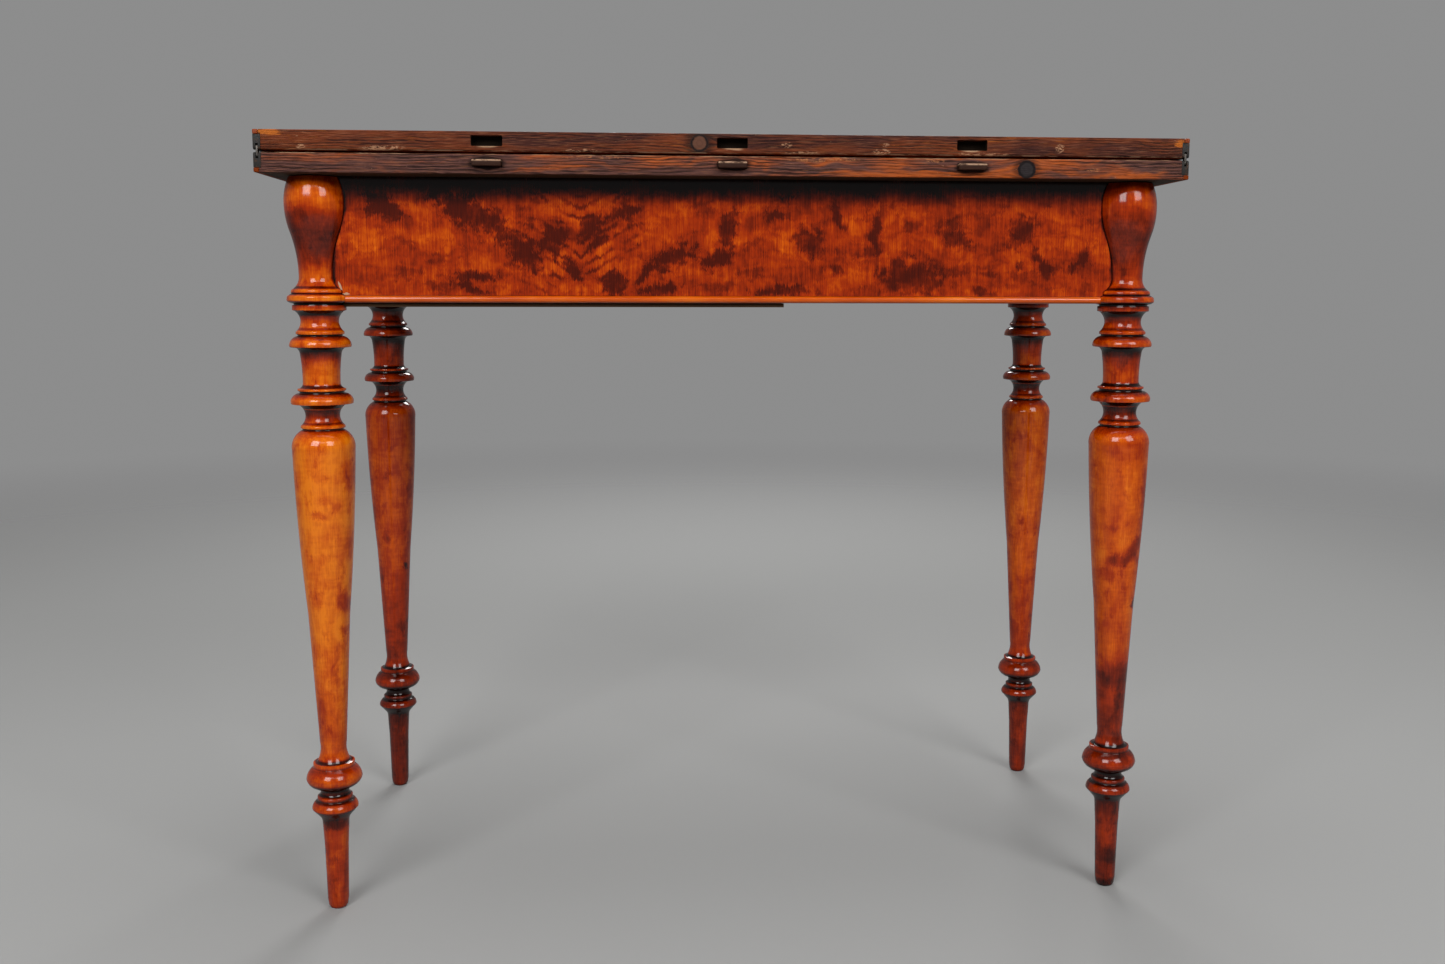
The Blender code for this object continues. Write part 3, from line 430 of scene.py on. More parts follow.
# Width of a ring in a knot as a share of the way from its rim to its heart
KNOT_RING_SHARE = 0.4
KNOT_HALO = 1.9
KNOT_DARK = (0.008, 0.005, 0.005)
KNOT_BROWN = {"upper": (0.120, 0.050, 0.030), "lower": (0.024, 0.019, 0.020)}
RING_PITCH = 2.9 * MM
FINE_RING_PITCH = 1.05 * MM
# How warm the edge is: everywhere, more for each metre to the right, and at its right end
EDGE_REDDER = {"upper": (0.02, -0.05, 0), "lower": (-0.03, 0.34, -0.22)}
EDGE_FALL_START = 300 * MM
EDGE_PURPLE = {"upper": (0.066, 0.018, 0.012), "lower": (0.110, 0.045, 0.036)}
EDGE_ORANGE = {"upper": (0.160, 0.034, 0.010), "lower": (0.420, 0.085, 0.014)}
EDGE_LINE = (0.012, 0.004, 0.003)
EDGE_DARK = (0.010, 0.004, 0.003)
EDGE_PALE = (0.280, 0.105, 0.045)
EDGE_WORN = (0.420, 0.240, 0.140)
EDGE_BARE = (0.420, 0.110, 0.014)
EDGE_SCUFF = {"upper": (0.460, 0.240, 0.130), "lower": (0.400, 0.150, 0.055)}
# Places where bare wood shows at the ends: across and up as shares of the half length and
# thickness, half width and half height in millimetres
EDGE_PATCHES = {"upper": ((-0.978, 0.90, 16, 4), (0.992, 0.76, 7, 5)), "lower": ()}
# Scuffs along the arris where the stain has gone pale, given in the same way
EDGE_SCUFFS = {
    "upper": (
        (-0.915, 0.22, 5, 2.5), (-0.745, 0.13, 24, 2.6), (-0.33, 0.06, 20, 1.6),
        (0.115, 0.45, 7, 3.0), (0.154, 0.08, 22, 2.6), (0.325, 0.15, 9, 4.0),
        (0.335, 0.55, 4, 2.5), (0.54, 0.07, 34, 2.0), (0.72, 0.40, 5, 5.0),
    ),
    "lower": (
        (-0.30, 0.90, 40, 1.6), (0.20, 0.88, 40, 2.2), (0.44, 0.86, 12, 2.4),
        (0.80, 0.50, 9, 2.0),
    ),
}
WEAR_WIDTH = {"upper": 1.8 * MM, "lower": 1.4 * MM}
LIP_WEAR = 2.2 * MM
LIP_GRIME = 5 * MM
# Reach of the painted shade round each tongue on the lower leaf's edge
TONGUE_SHADE_RUN = 21 * MM
TONGUE_SHADE_RISE = 7.5 * MM
# Colours of the pockets: painted shade inside them, and a paler pine where they face up
POCKET_SHADE = (0.002, 0.0015, 0.001)
POCKET_BROWN = (0.016, 0.010, 0.006)
POCKET_FLOOR = (0.200, 0.110, 0.055)
TONGUE_DARK = (0.010, 0.004, 0.003)
TONGUE_BROWN = (0.055, 0.022, 0.013)
TONGUE_BARE = (0.380, 0.230, 0.145)

# Bare pine and metals
# Painted shade with some dirt for the faces of the underside and the card well bottom that do not look
# up
RAW_SHADE_AND_DIRT = (0.016, 0.009, 0.005)
RAW_TONES = (
    (0.15, (0.034, 0.016, 0.006)),
    (0.40, (0.130, 0.064, 0.025)),
    (0.62, (0.250, 0.132, 0.055)),
    (0.90, (0.360, 0.205, 0.092)),
)
IRON_DARK = (0.006, 0.006, 0.006)
IRON_GREY = (0.032, 0.029, 0.026)
IRON_RUST = (0.080, 0.034, 0.016)
STEEL_DARK = (0.040, 0.036, 0.032)
STEEL_BRIGHT = (0.130, 0.120, 0.108)
STEEL_RUST = (0.07, 0.035, 0.020)


def metres(lengths):
    """Lengths given in millimetres, as metres."""
    return tuple(length * MM for length in lengths)


def middle_of(node):
    """The middle of a node's box."""
    return [(first + last) / 2 for first, last in zip(*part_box(node))]


# Materials
class Look:
    """A material, or the world, being wired up. Each method adds nodes and returns an output."""

    def __init__(self, name, owners=None, shader="Principled BSDF"):
        owners = bpy.data.materials if owners is None else owners
        self.owner = owners.new(name)
        self.owner.use_nodes = True
        self.tree = self.owner.node_tree
        self.shader = self.tree.nodes[shader]
        self.place = self.node("ShaderNodeTexCoord").outputs["Object"]
        self.x, self.y, self.z = self.parts(self.place)

    def fill(self, node, values):
        """Gives a node's inputs their values, by name or in order."""
        pairs = values.items() if isinstance(values, dict) else enumerate(values)
        for key, value in pairs:
            if isinstance(value, bpy.types.NodeSocket):
                self.tree.links.new(value, node.inputs[key])
            else:
                node.inputs[key].default_value = value
        return node

    def node(self, kind, values=(), **settings):
        made = self.tree.nodes.new(kind)
        for key, value in settings.items():
            setattr(made, key, value)
        return self.fill(made, values)

    def math(self, operation, *values):
        return self.node("ShaderNodeMath", values, operation=operation).outputs[0]

    def times(self, first, second):
        return self.math("MULTIPLY", first, second)

    def highest(self, first, second):
        return self.math("MAXIMUM", first, second)

    def total(self, start, *terms):
        """The start plus each further value times its weight."""
        for value, weight in terms:
            start = self.math("MULTIPLY_ADD", value, weight, start)
        return start

    def less(self, first, second):
        return self.math("SUBTRACT", first, second)

    def away(self, value, centre):
        """How far the value is from the centre, either way."""
        return self.math("ABSOLUTE", self.less(value, centre))

    def wave(self, value, pitch):
        return self.math("SINE", self.times(value, 2 * math.pi / pitch))

    def vector(self, operation, first, second):
        made = self.node("ShaderNodeVectorMath", (first, second), operation=operation)
        return made.outputs["Value" if operation == "LENGTH" else "Vector"]

    def parts(self, vector):
        return self.node("ShaderNodeSeparateXYZ", (vector,)).outputs

    def gather(self, x, y, z):
        return self.node("ShaderNodeCombineXYZ", (x, y, z)).outputs[0]

    def up(self):
        """How far the surface faces up, from -1 to 1."""
        return self.parts(self.node("ShaderNodeNewGeometry").outputs["Normal"])[2]

    def from_middle(self):
        """How far the place is from the table's middle along X and along Y."""
        return self.away(self.x, 0), self.away(self.y, TABLE_SHIFT_Y)

    def noise(self, grain, detail=3.0, roughness=0.5, vector=None, output="Fac"):
        """Noise at the object's own places, or at other ones."""
        vector = self.place if vector is None else vector
        scaled = self.vector("DIVIDE", vector, metres(GRAINS[grain]))
        values = {"Vector": scaled, "Scale": 1, "Detail": detail, "Roughness": roughness}
        return self.node("ShaderNodeTexNoise", values).outputs[output]

    def warped(self, grain, detail=3.0, vector=None):
        """The places pushed about by noise, by at most about half the reach of the grain."""
        vector = self.place if vector is None else vector
        push = self.noise(grain, detail, 0.6, vector, "Color")
        centred = self.vector("SUBTRACT", push, (0.5, 0.5, 0.5))
        reach = REACHES[grain] * MM
        return self.vector("ADD", vector, self.vector("MULTIPLY", centred, (reach,) * 3))

    def span(self, value, low, high, start=0.0, end=1.0):
        """A smooth climb from start to end while the value goes from low to high."""
        values = (value, low, high, start, end)
        return self.node("ShaderNodeMapRange", values, interpolation_type="SMOOTHSTEP").outputs[0]

    def stretched(self, grain, detail=3.0, roughness=0.5, vector=None, half_width=0.2):
        """A noise, which keeps near its middle, spread over the whole of 0 to 1."""
        value = self.noise(grain, detail, roughness, vector)
        return self.span(value, 0.5 - half_width, 0.5 + half_width)

    def frayed(self, vector):
        """The vector pushed along its third axis, the grain, by fine streaks."""
        push = self.total(-FRAY_REACH / 2, (self.noise("fray", 3, 0.6, vector), FRAY_REACH))
        return self.vector("ADD", vector, self.gather(0, 0, push))

    def spot(self, vector, centre, half_sizes, tilt=0.0):
        """1 in the middle of an ellipsoid, falling to 0 at its surface."""
        values = (vector, centre, (0, -math.radians(tilt), 0), half_sizes)
        inside = self.node("ShaderNodeMapping", values, vector_type="TEXTURE").outputs["Vector"]
        fall = self.node("ShaderNodeTexGradient", (inside,), gradient_type="SPHERICAL")
        return fall.outputs["Fac"]

    def ramp(self, value, stops):
        made = self.node("ShaderNodeValToRGB", (value,))
        marks = made.color_ramp.elements
        while len(marks) < len(stops):
            marks.new(1)
        for mark, (position, colour) in zip(marks, stops):
            mark.position = position
            mark.color = (*colour, 1)
        return made.outputs["Color"]

    def curve(self, value, stops):
        """A number that follows the value through the stops."""
        return self.ramp(value, [(position, (number,) * 3) for position, number in stops])

    def mix(self, share, first, second):
        first, second = [(*side, 1) if isinstance(side, tuple) else side for side in (first, second)]
        return self.node("ShaderNodeMix", {0: share, 6: first, 7: second}, data_type="RGBA").outputs[2]

    def layered(self, colour, *layers):
        """The colour with further colours laid over it, each by its share."""
        for share, over in layers:
            colour = self.mix(share, colour, over)
        return colour

    def finish(self, colour, roughness, height, relief, specular, coat=NO_COAT):
        bump = {"Strength": 1, "Distance": RELIEFS[relief] * MM, "Height": height}
        values = {
            "Normal": self.node("ShaderNodeBump", bump).outputs["Normal"],
            "Base Color": colour,
            "Roughness": roughness,
            "Coat Weight": coat[0],
            "Coat Roughness": coat[1],
            "Specular IOR Level": specular,
        }
        self.fill(self.shader, values)
        return self.owner


def polished(look, tone, streak, unevenness, gloss=FINE_GLOSS, tones=BIRCH_TONES, bare=None):
    """Finishes a shellacked birch look from its tone and its grain, and where it is bare."""
    colour = look.ramp(tone, tones)
    if bare:
        colour = look.mix(bare, colour, BARE_BIRCH)
    roughness = look.total(0.30, (streak, 0.12))
    height = look.total(look.times(streak, 0.2), (unevenness, 0.7))
    return look.finish(colour, roughness, height, "birch", 0, gloss)


def leg_look(node):
    """Turned birch with upright grain, figure and its own marks, dirt and painted shade in the
    grooves, and painted shade under the rings, on downward faces and at the apron seams.
    """
    look = Look("birch_" + node)
    bent = look.warped("leg_cloud")
    streak = look.stretched("leg_streak", 4)
    groove_dirt_and_shade, shade = [
        look.node("ShaderNodeAttribute", attribute_name=name).outputs["Fac"]
        for name in ("groove_dirt_and_shade", "shade")
    ]
    tone = look.total(
        LEG_TONES[node] - 0.20,
        (streak, 0.10),
        (look.stretched("leg_band", 2), 0.08),
        (look.stretched("leg_cloud", 4, 0.6, bent), 0.18),
        (look.stretched("leg_ripple"), 0.06),
        (look.span(look.noise("leg_blotch", 5, 0.65, look.frayed(bent)), 0.53, 0.70), -0.18),
        # darker finish by height, with painted shade on the bulb's lower half
        (look.curve(look.math("DIVIDE", look.z, LEG_TOP_Z), LEG_DARKENING), -1),
        # dirt and painted shade in the grooves
        (look.span(groove_dirt_and_shade, 0.10, 0.75), -0.60),
        # painted shade under the rings, with some dirt
        (look.span(shade, 0.12, 0.9), -0.50),
        # dirt and painted shade where the apron facings meet the bulb
        (seam_dirt_and_shade(look), -0.50),
        # painted shade on the faces that look down, with some dirt under the rings
        (look.span(look.up(), -0.30, -0.85), -0.30),
    )
    ragged = look.frayed(look.warped("mark_bend", 5))
    low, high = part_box(node)
    for *lengths, tilt, strength in LEG_MARKS[node]:
        off, height, half_width, half_height = metres(lengths)
        centre = ((low.x + high.x) / 2 + off, low.y, height)
        mark = look.spot(ragged, centre, (half_width, high.y - low.y, half_height), tilt)
        tone = look.total(tone, (look.span(mark, 0.05, 0.60), -strength))
    return polished(look, tone, streak, look.noise("leg_uneven", 2))


def seam_dirt_and_shade(look):
    """Dirt and painted shade on a bulb along the two lines where the apron facings meet it."""
    far_x, far_y = look.from_middle()
    out_x = look.less(far_x, LEG_RUN_X)
    out_y = look.less(far_y, LEG_RUN_Y)
    dirt = 0.0
    for across, inward in ((out_y, out_x), (out_x, out_y)):
        near = look.span(look.away(across, FACING_OUT), SEAM_REACH, 0)
        dirt = look.highest(dirt, look.times(near, look.math("LESS_THAN", inward, 0)))
    return look.times(dirt, look.math("GREATER_THAN", look.z, SEAM_BOTTOM_Z))


def leg_outline(look):
    """How far the outline of a bulb stands from its axis where a facing meets it."""
    profile = [(radius, height) for radius, height in leg_profile() if height > SEAM_BOTTOM_Z]
    stops = []
    for share in BULB_STOP_SHARES:
        height = LEG_TOP_Z + share * (SEAM_BOTTOM_Z - LEG_TOP_Z)
        radius = min(profile, key=lambda point: abs(point[1] - height))[0]
        stops.append((share, math.sqrt(max(0, radius ** 2 - FACING_OUT ** 2))))
    down = look.node("ShaderNodeMapRange", (look.z, LEG_TOP_Z, SEAM_BOTTOM_Z)).outputs[0]
    return look.curve(down, stops)


def flame_look(side):
    """Flame birch veneer, book-matched about a joint, with dark figure across its grain."""
    look = Look("flame_birch_" + side)
    lengthwise = side in ("front", "back")
    across, along, mirror, joints = look.y, look.z, TABLE_SHIFT_Y, ()
    if lengthwise:
        across, mirror, joints = look.x, APRON_MIRROR, APRON_JOINTS
    elif side == "top":
        along = look.x
    slice_place, base_tone, level = VENEERS[side]
    depth = slice_place * MM
    for joint in joints:
        depth = look.total(depth, (look.math("GREATER_THAN", across, joint), SLICE_STEP))
    off = look.away(across, mirror)
    sheet = look.gather(off, depth, along)
    frayed = look.frayed(sheet)
    drift = look.warped("flame_cloud", vector=frayed)
    streak = look.stretched("flame_streak", 4, vector=sheet)
    cloud = look.stretched("flame_cloud", 4, 0.55, drift, 0.22)
    bent = look.parts(look.warped("flame_bend", 4, frayed))
    feather = look.wave(look.total(bent[2], (bent[0], -FLAME_SLOPE)), FLAME_PITCH)
    near = look.span(off, FLAME_REACH, 0)
    patchy = look.span(look.noise("flame_patch", vector=sheet), 0.42, 0.58)
    feather = look.times(look.span(feather, 0.1, 0.9), look.times(near, patchy))
    figure = look.noise("flame_figure", 5, 0.6, look.warped("flame_figure", 4, frayed))
    figure = look.span(figure, level, level + FIGURE_BLUR)
    marks = 0.0
    if side == "front":
        marks = front_marks(look)
        figure = look.times(figure, 0.5)
    tone = look.total(
        base_tone - 0.26,
        (streak, 0.17),
        (look.stretched("flame_band", vector=sheet), 0.10),
        (cloud, 0.28),
        (look.stretched("flame_ripple", vector=drift), 0.12),
        (feather, -0.30),
        (marks, -0.34),
        (figure, -0.28),
        (look.x, FRONT_FALL if side == "front" else 0),
    )
    tone = look.highest(tone, look.total(FIGURE_FLOOR, (streak, 0.08)))
    uneven = look.noise("flame_uneven", 2)
    if side == "top":
        return polished(look, tone, streak, uneven, WORN_GLOSS, FADED_TONES)
    # painted shadow of the top's overhang on the apron, with some grime
    grime_and_top_shadow = look.span(look.total(look.z, (cloud, -GRIME_AND_SHADE_SWAY)), GRIME_AND_SHADOW_BOTTOM_Z, GRIME_AND_SHADOW_TOP_Z)
    # Beside each leg the apron is painted darker: painted shade where it meets the leg, with some dirt
    far_x, far_y = look.from_middle()
    far, half_run = (far_x, LEG_RUN_X) if lengthwise else (far_y, LEG_RUN_Y)
    beside = look.less(look.less(half_run, far), leg_outline(look))
    beside = look.span(look.total(beside, (cloud, GRIME_AND_SHADE_SWAY)), SEAM_WIDTH, 0)
    tone = look.total(tone, (grime_and_top_shadow, -0.62), (beside, -0.60))
    bare = front_chips(look) if side == "front" else None
    return polished(look, tone, streak, uneven, bare=bare)


def front_chips(look):
    """Bare spots where the front veneer has chipped away beside the left leg."""
    frayed = look.warped("chip_grit")
    chips = 0.0
    for *lengths, tilt in FRONT_CHIPS:
        x, z, half_width, half_height = metres(lengths)
        spot = look.spot(frayed, (x, 0, z), (half_width, CHIP_THROUGH, half_height), tilt)
        chips = look.highest(chips, spot)
    grit = look.noise("chip_grit", 4, 0.65)
    return look.span(look.total(chips, (grit, 1.0)), 0.80, 0.90)


def front_marks(look):
    """The named dark marks of the front, with ragged outlines that fray along the grain."""
    bent = look.warped("flame_figure", 5, look.frayed(look.place))
    low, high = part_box("front_apron_facing")
    half_length = (high.x - low.x) / 2
    height = high.z - low.z
    marks = 0.0
    for across, up, long_share, wide_share, tilt in APRON_MARK_SHARES:
        centre = (across * half_length, low.y, low.z + up * height)
        run = MARK_GROWTH * long_share * half_length
        half_sizes = (run, half_length, MARK_GROWTH * wide_share * height)
        marks = look.highest(marks, look.spot(bent, centre, half_sizes, tilt))
    field = look.total(marks, (look.noise("flame_ragged", 5, 0.62, bent), 2.0))
    sharp = look.span(field, 1.34, 1.46)
    soft = look.span(field, 1.00, 1.85)
    weight = look.span(look.x, *MARK_SOFTENING, 0.45, 0.24)
    return look.total(look.times(soft, 0.70), (sharp, weight))


def bead_look(side):
    """Glossy birch of a bead, dark along its inner edge."""
    look = Look("birch_bead_" + side)
    streak = look.noise("bead_streak", 4)
    band = look.noise("bead_band")
    far_x, far_y = look.from_middle()
    far, half_run = (far_y, LEG_RUN_Y) if side in ("front", "back") else (far_x, LEG_RUN_X)
    inner = half_run - RAIL_FACE_IN
    hidden = look.span(far, inner + BEAD_BARE, inner)
    tone = look.total(0.50, (streak, 0.16), (band, 0.42), (hidden, -0.45))
    return polished(look, tone, streak, band, BEAD_GLOSS)


@cache
def lipping_look():
    """Faded birch of the lippings, stained and darker towards the meeting edge."""
    look = Look("birch_lipping")
    streak = look.noise("lipping_streak", 4)
    band = look.noise("lipping_band")
    stain = look.span(look.noise("lipping_stain", 4), 0.55, 0.7)
    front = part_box("lower_leaf_left_lipping")[0].y
    near = look.span(look.y, front + LIP_GRIME, front)
    tone = look.total(0.40, (streak, 0.16), (band, 0.34), (stain, -0.2), (near, -0.15))
    return polished(look, tone, streak, band, WORN_GLOSS, FADED_TONES)


def playing_look(leaf):
    """Plain polished birch of a playing face, clouded and rippled across its grain."""
    look = Look("birch_playing_" + leaf)
    streak = look.stretched("playing_streak", 4)
    bent = look.warped("playing_bend", 4)
    cloud = look.stretched("playing_cloud", 4, 0.6, bent)
    ripple = look.stretched("playing_ripple", 3, 0.6, bent)
    figure = look.span(look.noise("playing_figure", 5, 0.65, bent), 0.56, 0.66)
    tone = look.total(0.36, (streak, 0.12), (cloud, 0.20), (ripple, 0.12), (figure, -0.16))
    return polished(look, tone, streak, cloud, WORN_GLOSS, FADED_TONES)


def edge_look(leaf):
    """Stained pine of a meeting edge: rings along X that part round its knots, and its wear."""
    look = Look("stained_pine_" + leaf)
    low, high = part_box(leaf + "_leaf_core")
    half_length = (high.x - low.x) / 2
    thickness = high.z - low.z

    def mark(vector, across, up, half_width, half_height):
        centre = (across * half_length, low.y, low.z + up * thickness)
        return look.spot(vector, centre, (half_width, half_length, half_height))

    bent = look.warped("edge_bend")
    knotty = look.warped("knot_bend")
    rings = look.parts(bent)[2]
    knots = halos = 0.0
    for across, up, size in KNOT_SHARES[leaf]:
        radius = size * thickness
        off_x = look.less(look.x, across * half_length)
        off_z = look.less(look.z, low.z + up * thickness)
        squashed = look.times(off_x, KNOT_ROUNDNESS)
        distance = look.total((KNOT_CORE * radius) ** 2, (off_z, off_z), (off_x, squashed))
        pull = look.math("DIVIDE", look.times(off_z, -radius * radius), distance)
        rings = look.math("ADD", rings, pull)
        knots = look.highest(knots, mark(knotty, across, up, radius, radius))
        wide = KNOT_HALO * radius
        halos = look.highest(halos, mark(bent, across, up, wide, wide))
    line = look.total(look.wave(rings, RING_PITCH), (look.wave(rings, FINE_RING_PITCH), 0.40))
    strength = look.noise("edge_strength")
    line = look.times(look.span(line, -0.2, 0.7), look.span(strength, 0.36, 0.60, 0.15, 0.9))
    fibre = look.stretched("edge_fibre", 4, 0.6)
    tint = look.noise("edge_tint", vector=look.warped("edge_tint_bend"))
    warmth, slope, end_fall = EDGE_REDDER[leaf]
    fall = look.span(look.x, EDGE_FALL_START, LEAF_HALF_LENGTH)
    warm = look.total(warmth, (look.x, slope), (tint, 1.0), (fall, end_fall))
    heart = look.total(look.span(knots, 0.20, 0.42), (look.wave(knots, KNOT_RING_SHARE), 0.15))
    layers = [
        (look.span(warm, 0.40, 0.66), EDGE_ORANGE[leaf]),
        (look.times(line, 0.92), EDGE_LINE),
        (look.span(fibre, 0.55, 1.0, 0, 0.7), EDGE_DARK),
        (look.span(fibre, 0.35, 0.0, 0, 0.45), EDGE_PALE),
        (look.span(halos, 0.05, 0.50, 0, 0.65), EDGE_DARK),
        (look.span(knots, 0.02, 0.12), look.mix(heart, KNOT_DARK, KNOT_BROWN[leaf])),
    ]
    for across, up, *half_sizes in EDGE_PATCHES[leaf]:
        patch = mark(bent, across, up, *metres(half_sizes))
        patch = look.total(patch, (fibre, 0.6), (tint, 0.5))
        layers.append((look.span(patch, 0.80, 1.05), EDGE_BARE))
    scuffs = 0.0
    for across, up, *half_sizes in EDGE_SCUFFS[leaf]:
        scuffs = look.highest(scuffs, mark(bent, across, up, *metres(half_sizes)))
    grit = look.noise("edge_scuff", 4, 0.7)
    scuffs = look.times(look.span(scuffs, 0.0, 0.35), look.span(grit, 0.49, 0.57))
    layers.append((look.times(scuffs, 0.8), EDGE_SCUFF[leaf]))
    for name in TONGUES:
        x, y, z = middle_of(name + "_tongue")
        if leaf == "upper":
            half_sizes = (MORTISE_WIDTH / 2, half_length, LIP_WEAR)
            lip = look.spot(bent, (x, low.y, low.z + MORTISE_BOTTOM), half_sizes)
            layers.append((look.span(lip, 0.2, 0.7), EDGE_WORN))
        else:
            # painted shade round the tongue where it leaves the edge
            half_sizes = (TONGUE_SHADE_RUN, half_length, TONGUE_SHADE_RISE)
            halo = look.spot(bent, (x, y, z), half_sizes)
            layers.append((look.span(halo, 0.05, 0.35, 0, 0.8), EDGE_DARK))
    layers.append((arris_wear(look, leaf), EDGE_WORN))
    colour = look.layered(EDGE_PURPLE[leaf], *layers)
    height = look.total(0.5, (line, -0.5), (fibre, -0.6), (look.span(knots, 0.0, 0.12), -0.5))
    return look.finish(colour, look.total(0.42, (fibre, 0.2)), height, "edge", 0.10)


def arris_wear(look, leaf):
    """Where the stain has rubbed off the arris at the playing face, in small chips."""
    near = look.span(look.away(look.z, leaf_faces(leaf)[0]), WEAR_WIDTH[leaf], 0)
    patch = look.noise("arris_patch", 4, 0.65)
    scratch = look.noise("arris_scratch", 3, 0.6)
    share = look.times(near, look.span(patch, 0.44, 0.60))
    return look.highest(share, look.times(look.span(scratch, 0.70, 0.76), 0.5))


@cache
def pocket_look():
    """Pine inside the mortises and the hinge beds, painted near-black as shade, and paler where it
    faces up.
    """
    look = Look("pocket_pine")
    fibre = look.noise("pocket_fibre", 4, 0.6)
    # painted shade: the pocket is near black except on the faces that look up
    looking_up = look.times(look.span(look.up(), 0.3, 0.8), look.span(fibre, 0.3, 0.6))
    colour = look.layered(POCKET_SHADE, (fibre, POCKET_BROWN), (looking_up, POCKET_FLOOR))
    return look.finish(colour, look.total(0.7, (fibre, 0.2)), fibre, "pocket", 0.05)


@cache
def tongue_look():
    """A dark hardwood tongue whose upper arris has worn pale."""
    look = Look("tongue_wood")
    top_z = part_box("middle_tongue")[1].z
    fibre = look.noise("tongue_fibre", 4, 0.6)
    top = look.span(look.z, top_z - TONGUE_WEAR, top_z - TONGUE_ROUND)
    patch = look.noise("tongue_patch", 3, 0.6)
    worn_share = look.times(top, look.span(patch, 0.34, 0.56))
    colour = look.layered(TONGUE_DARK, (fibre, TONGUE_BROWN), (worn_share, TONGUE_BARE))
    return look.finish(colour, look.total(0.35, (fibre, 0.3)), fibre, "tongue", 0.08)


def raw_look(name):
    """Bare old pine with brown grey dust, its grain along the longer side of the board."""
    look = Look("raw_pine_" + name)
    grain = "raw_" + name if "raw_" + name in GRAINS else "raw_board"
    rings = look.noise(grain, 4, 0.6, look.warped("raw_bend"))
    dust = look.noise("raw_dust", 4, 0.6)
    colour = look.ramp(look.total(0.0, (rings, 0.7), (dust, 0.35)), RAW_TONES)
    # faces that do not look up are painted darker: painted shade, with some dirt
    if name in ("underside", "card_well_bottom"):
        colour = look.mix(look.span(look.up(), 0.3, 0.7, 0.85, 0.25), colour, RAW_SHADE_AND_DIRT)
    return look.finish(colour, look.total(0.65, (rings, 0.2)), rings, "raw", 0.15)


@cache
def iron_look(name):
    """Blackened iron, pitted and brown with rust in places."""
    look = Look("black_iron_" + name)
    pits = look.noise("iron_pits", 5, 0.7)
    rust = look.span(look.noise("iron_rust", 4, 0.65), 0.52, 0.68)
    colour = look.layered(IRON_DARK, (pits, IRON_GREY), (look.times(rust, 0.6), IRON_RUST))
    return look.finish(colour, look.total(0.42, (pits, 0.3)), pits, "iron", 0.2)


@cache
def steel_look(name):
    """Worn bright steel, scratched and spotted with rust."""
    look = Look("worn_steel_" + name)
    scratch = look.noise("steel_scratch", 3, 0.6)
    rust = look.span(look.noise("steel_rust", 4, 0.65), 0.55, 0.70)
    rust = look.times(rust, 0.7)
    colour = look.layered(STEEL_DARK, (scratch, STEEL_BRIGHT), (rust, STEEL_RUST))
    look.fill(look.shader, {"Metallic": 1})
    return look.finish(colour, look.total(0.28, (scratch, 0.2)), scratch, "steel", 0.5)


# Meshes
def solid_from(name, bm):
    bmesh.ops.recalc_face_normals(bm, faces=bm.faces)
    return placed(name, bm)


def placed(name, bm):
    """A new object in the scene with the mesh that has been built."""
    mesh = bpy.data.meshes.new(name)
    bm.to_mesh(mesh)
    bm.free()
    body = bpy.data.objects.new(name, mesh)
    bpy.context.scene.collection.objects.link(body)
    return body


def bowed(start, end, rise_share=0, steps=1):
    """Points of the arc, or straight run, that leads from one turning point to the next."""
    run, drop = end[0] - start[0], end[1] - start[1]
    if not rise_share:
        return [
            (start[0] + run * step / steps, start[1] + drop * step / steps)
            for step in range(1, steps + 1)
        ]
    chord = math.hypot(run, drop)
    half_angle = 2 * math.atan(2 * rise_share)
    radius = chord / (2 * math.sin(half_angle))
    along = (run / chord, drop / chord)
    out = (-along[1], along[0])
    points = []
    for step in range(1, steps + 1):
        angle = half_angle * (2 * step / steps - 1)
        forward = radius * math.sin(angle) + chord / 2
        aside = radius * (math.cos(angle) - math.cos(half_angle))
        x = start[0] + along[0] * forward + out[0] * aside
        points.append((x, start[1] + along[1] * forward + out[1] * aside))
    return points


def softened(outline):
    """The outline with each sharp corner replaced by a small round of three points."""
    made = [outline[0]]
    for before, here, after in zip(outline, outline[1:], outline[2:]):
        first, second = Vector(here) - Vector(before), Vector(after) - Vector(here)
        if first.length == 0 or second.length == 0:
            continue
        if first.angle(second) < SOFT_ANGLE:
            made.append(here)
            continue
        reach = min(SOFT_CORNER, first.length / 3, second.length / 3)
        start = Vector(here) - first.normalized() * reach
        end = Vector(here) + second.normalized() * reach
        middle = (start + end + 2 * Vector(here)) / 4
        made += [tuple(start), tuple(middle), tuple(end)]
    made.append(outline[-1])
    return made


def leg_profile():
    points = []
    top = LEG_TOP_Z
    for section, sizes in LEG_SECTIONS.items():
        height, radius = metres(sizes)
        for down_share, out_share, *bow in TURNING_SHARES[section]:
            end = (out_share * radius, top - down_share * height)
            points += bowed(points[-1], end, *bow) if points else [end]
        top -= height
    return softened(points)


def lathe(name, profile, sides):
    bm = bmesh.new()
    rings = []
    for radius, height in profile:
        if radius == 0:
            rings.append([bm.verts.new((0, 0, height))])
            continue
        ring = []
        for side in range(sides):
            angle = 2 * math.pi * side / sides
            ring.append(bm.verts.new((radius * math.cos(angle), radius * math.sin(angle), height)))
        rings.append(ring)
    for upper, lower in zip(rings, rings[1:]):
        for side in range(sides):
            after = (side + 1) % sides
            corners = [upper[side % len(upper)], upper[after % len(upper)]]
            corners += [lower[after % len(lower)], lower[side % len(lower)]]
            unique = list(dict.fromkeys(corners))
            if len(unique) > 2:
                bm.faces.new(unique)
    return solid_from(name, bm)


def plain_round(name, radius, low, high, sides):
    """An upright round bar about the origin."""
    return lathe(name, [(0, high), (radius, high), (radius, low), (0, low)], sides)


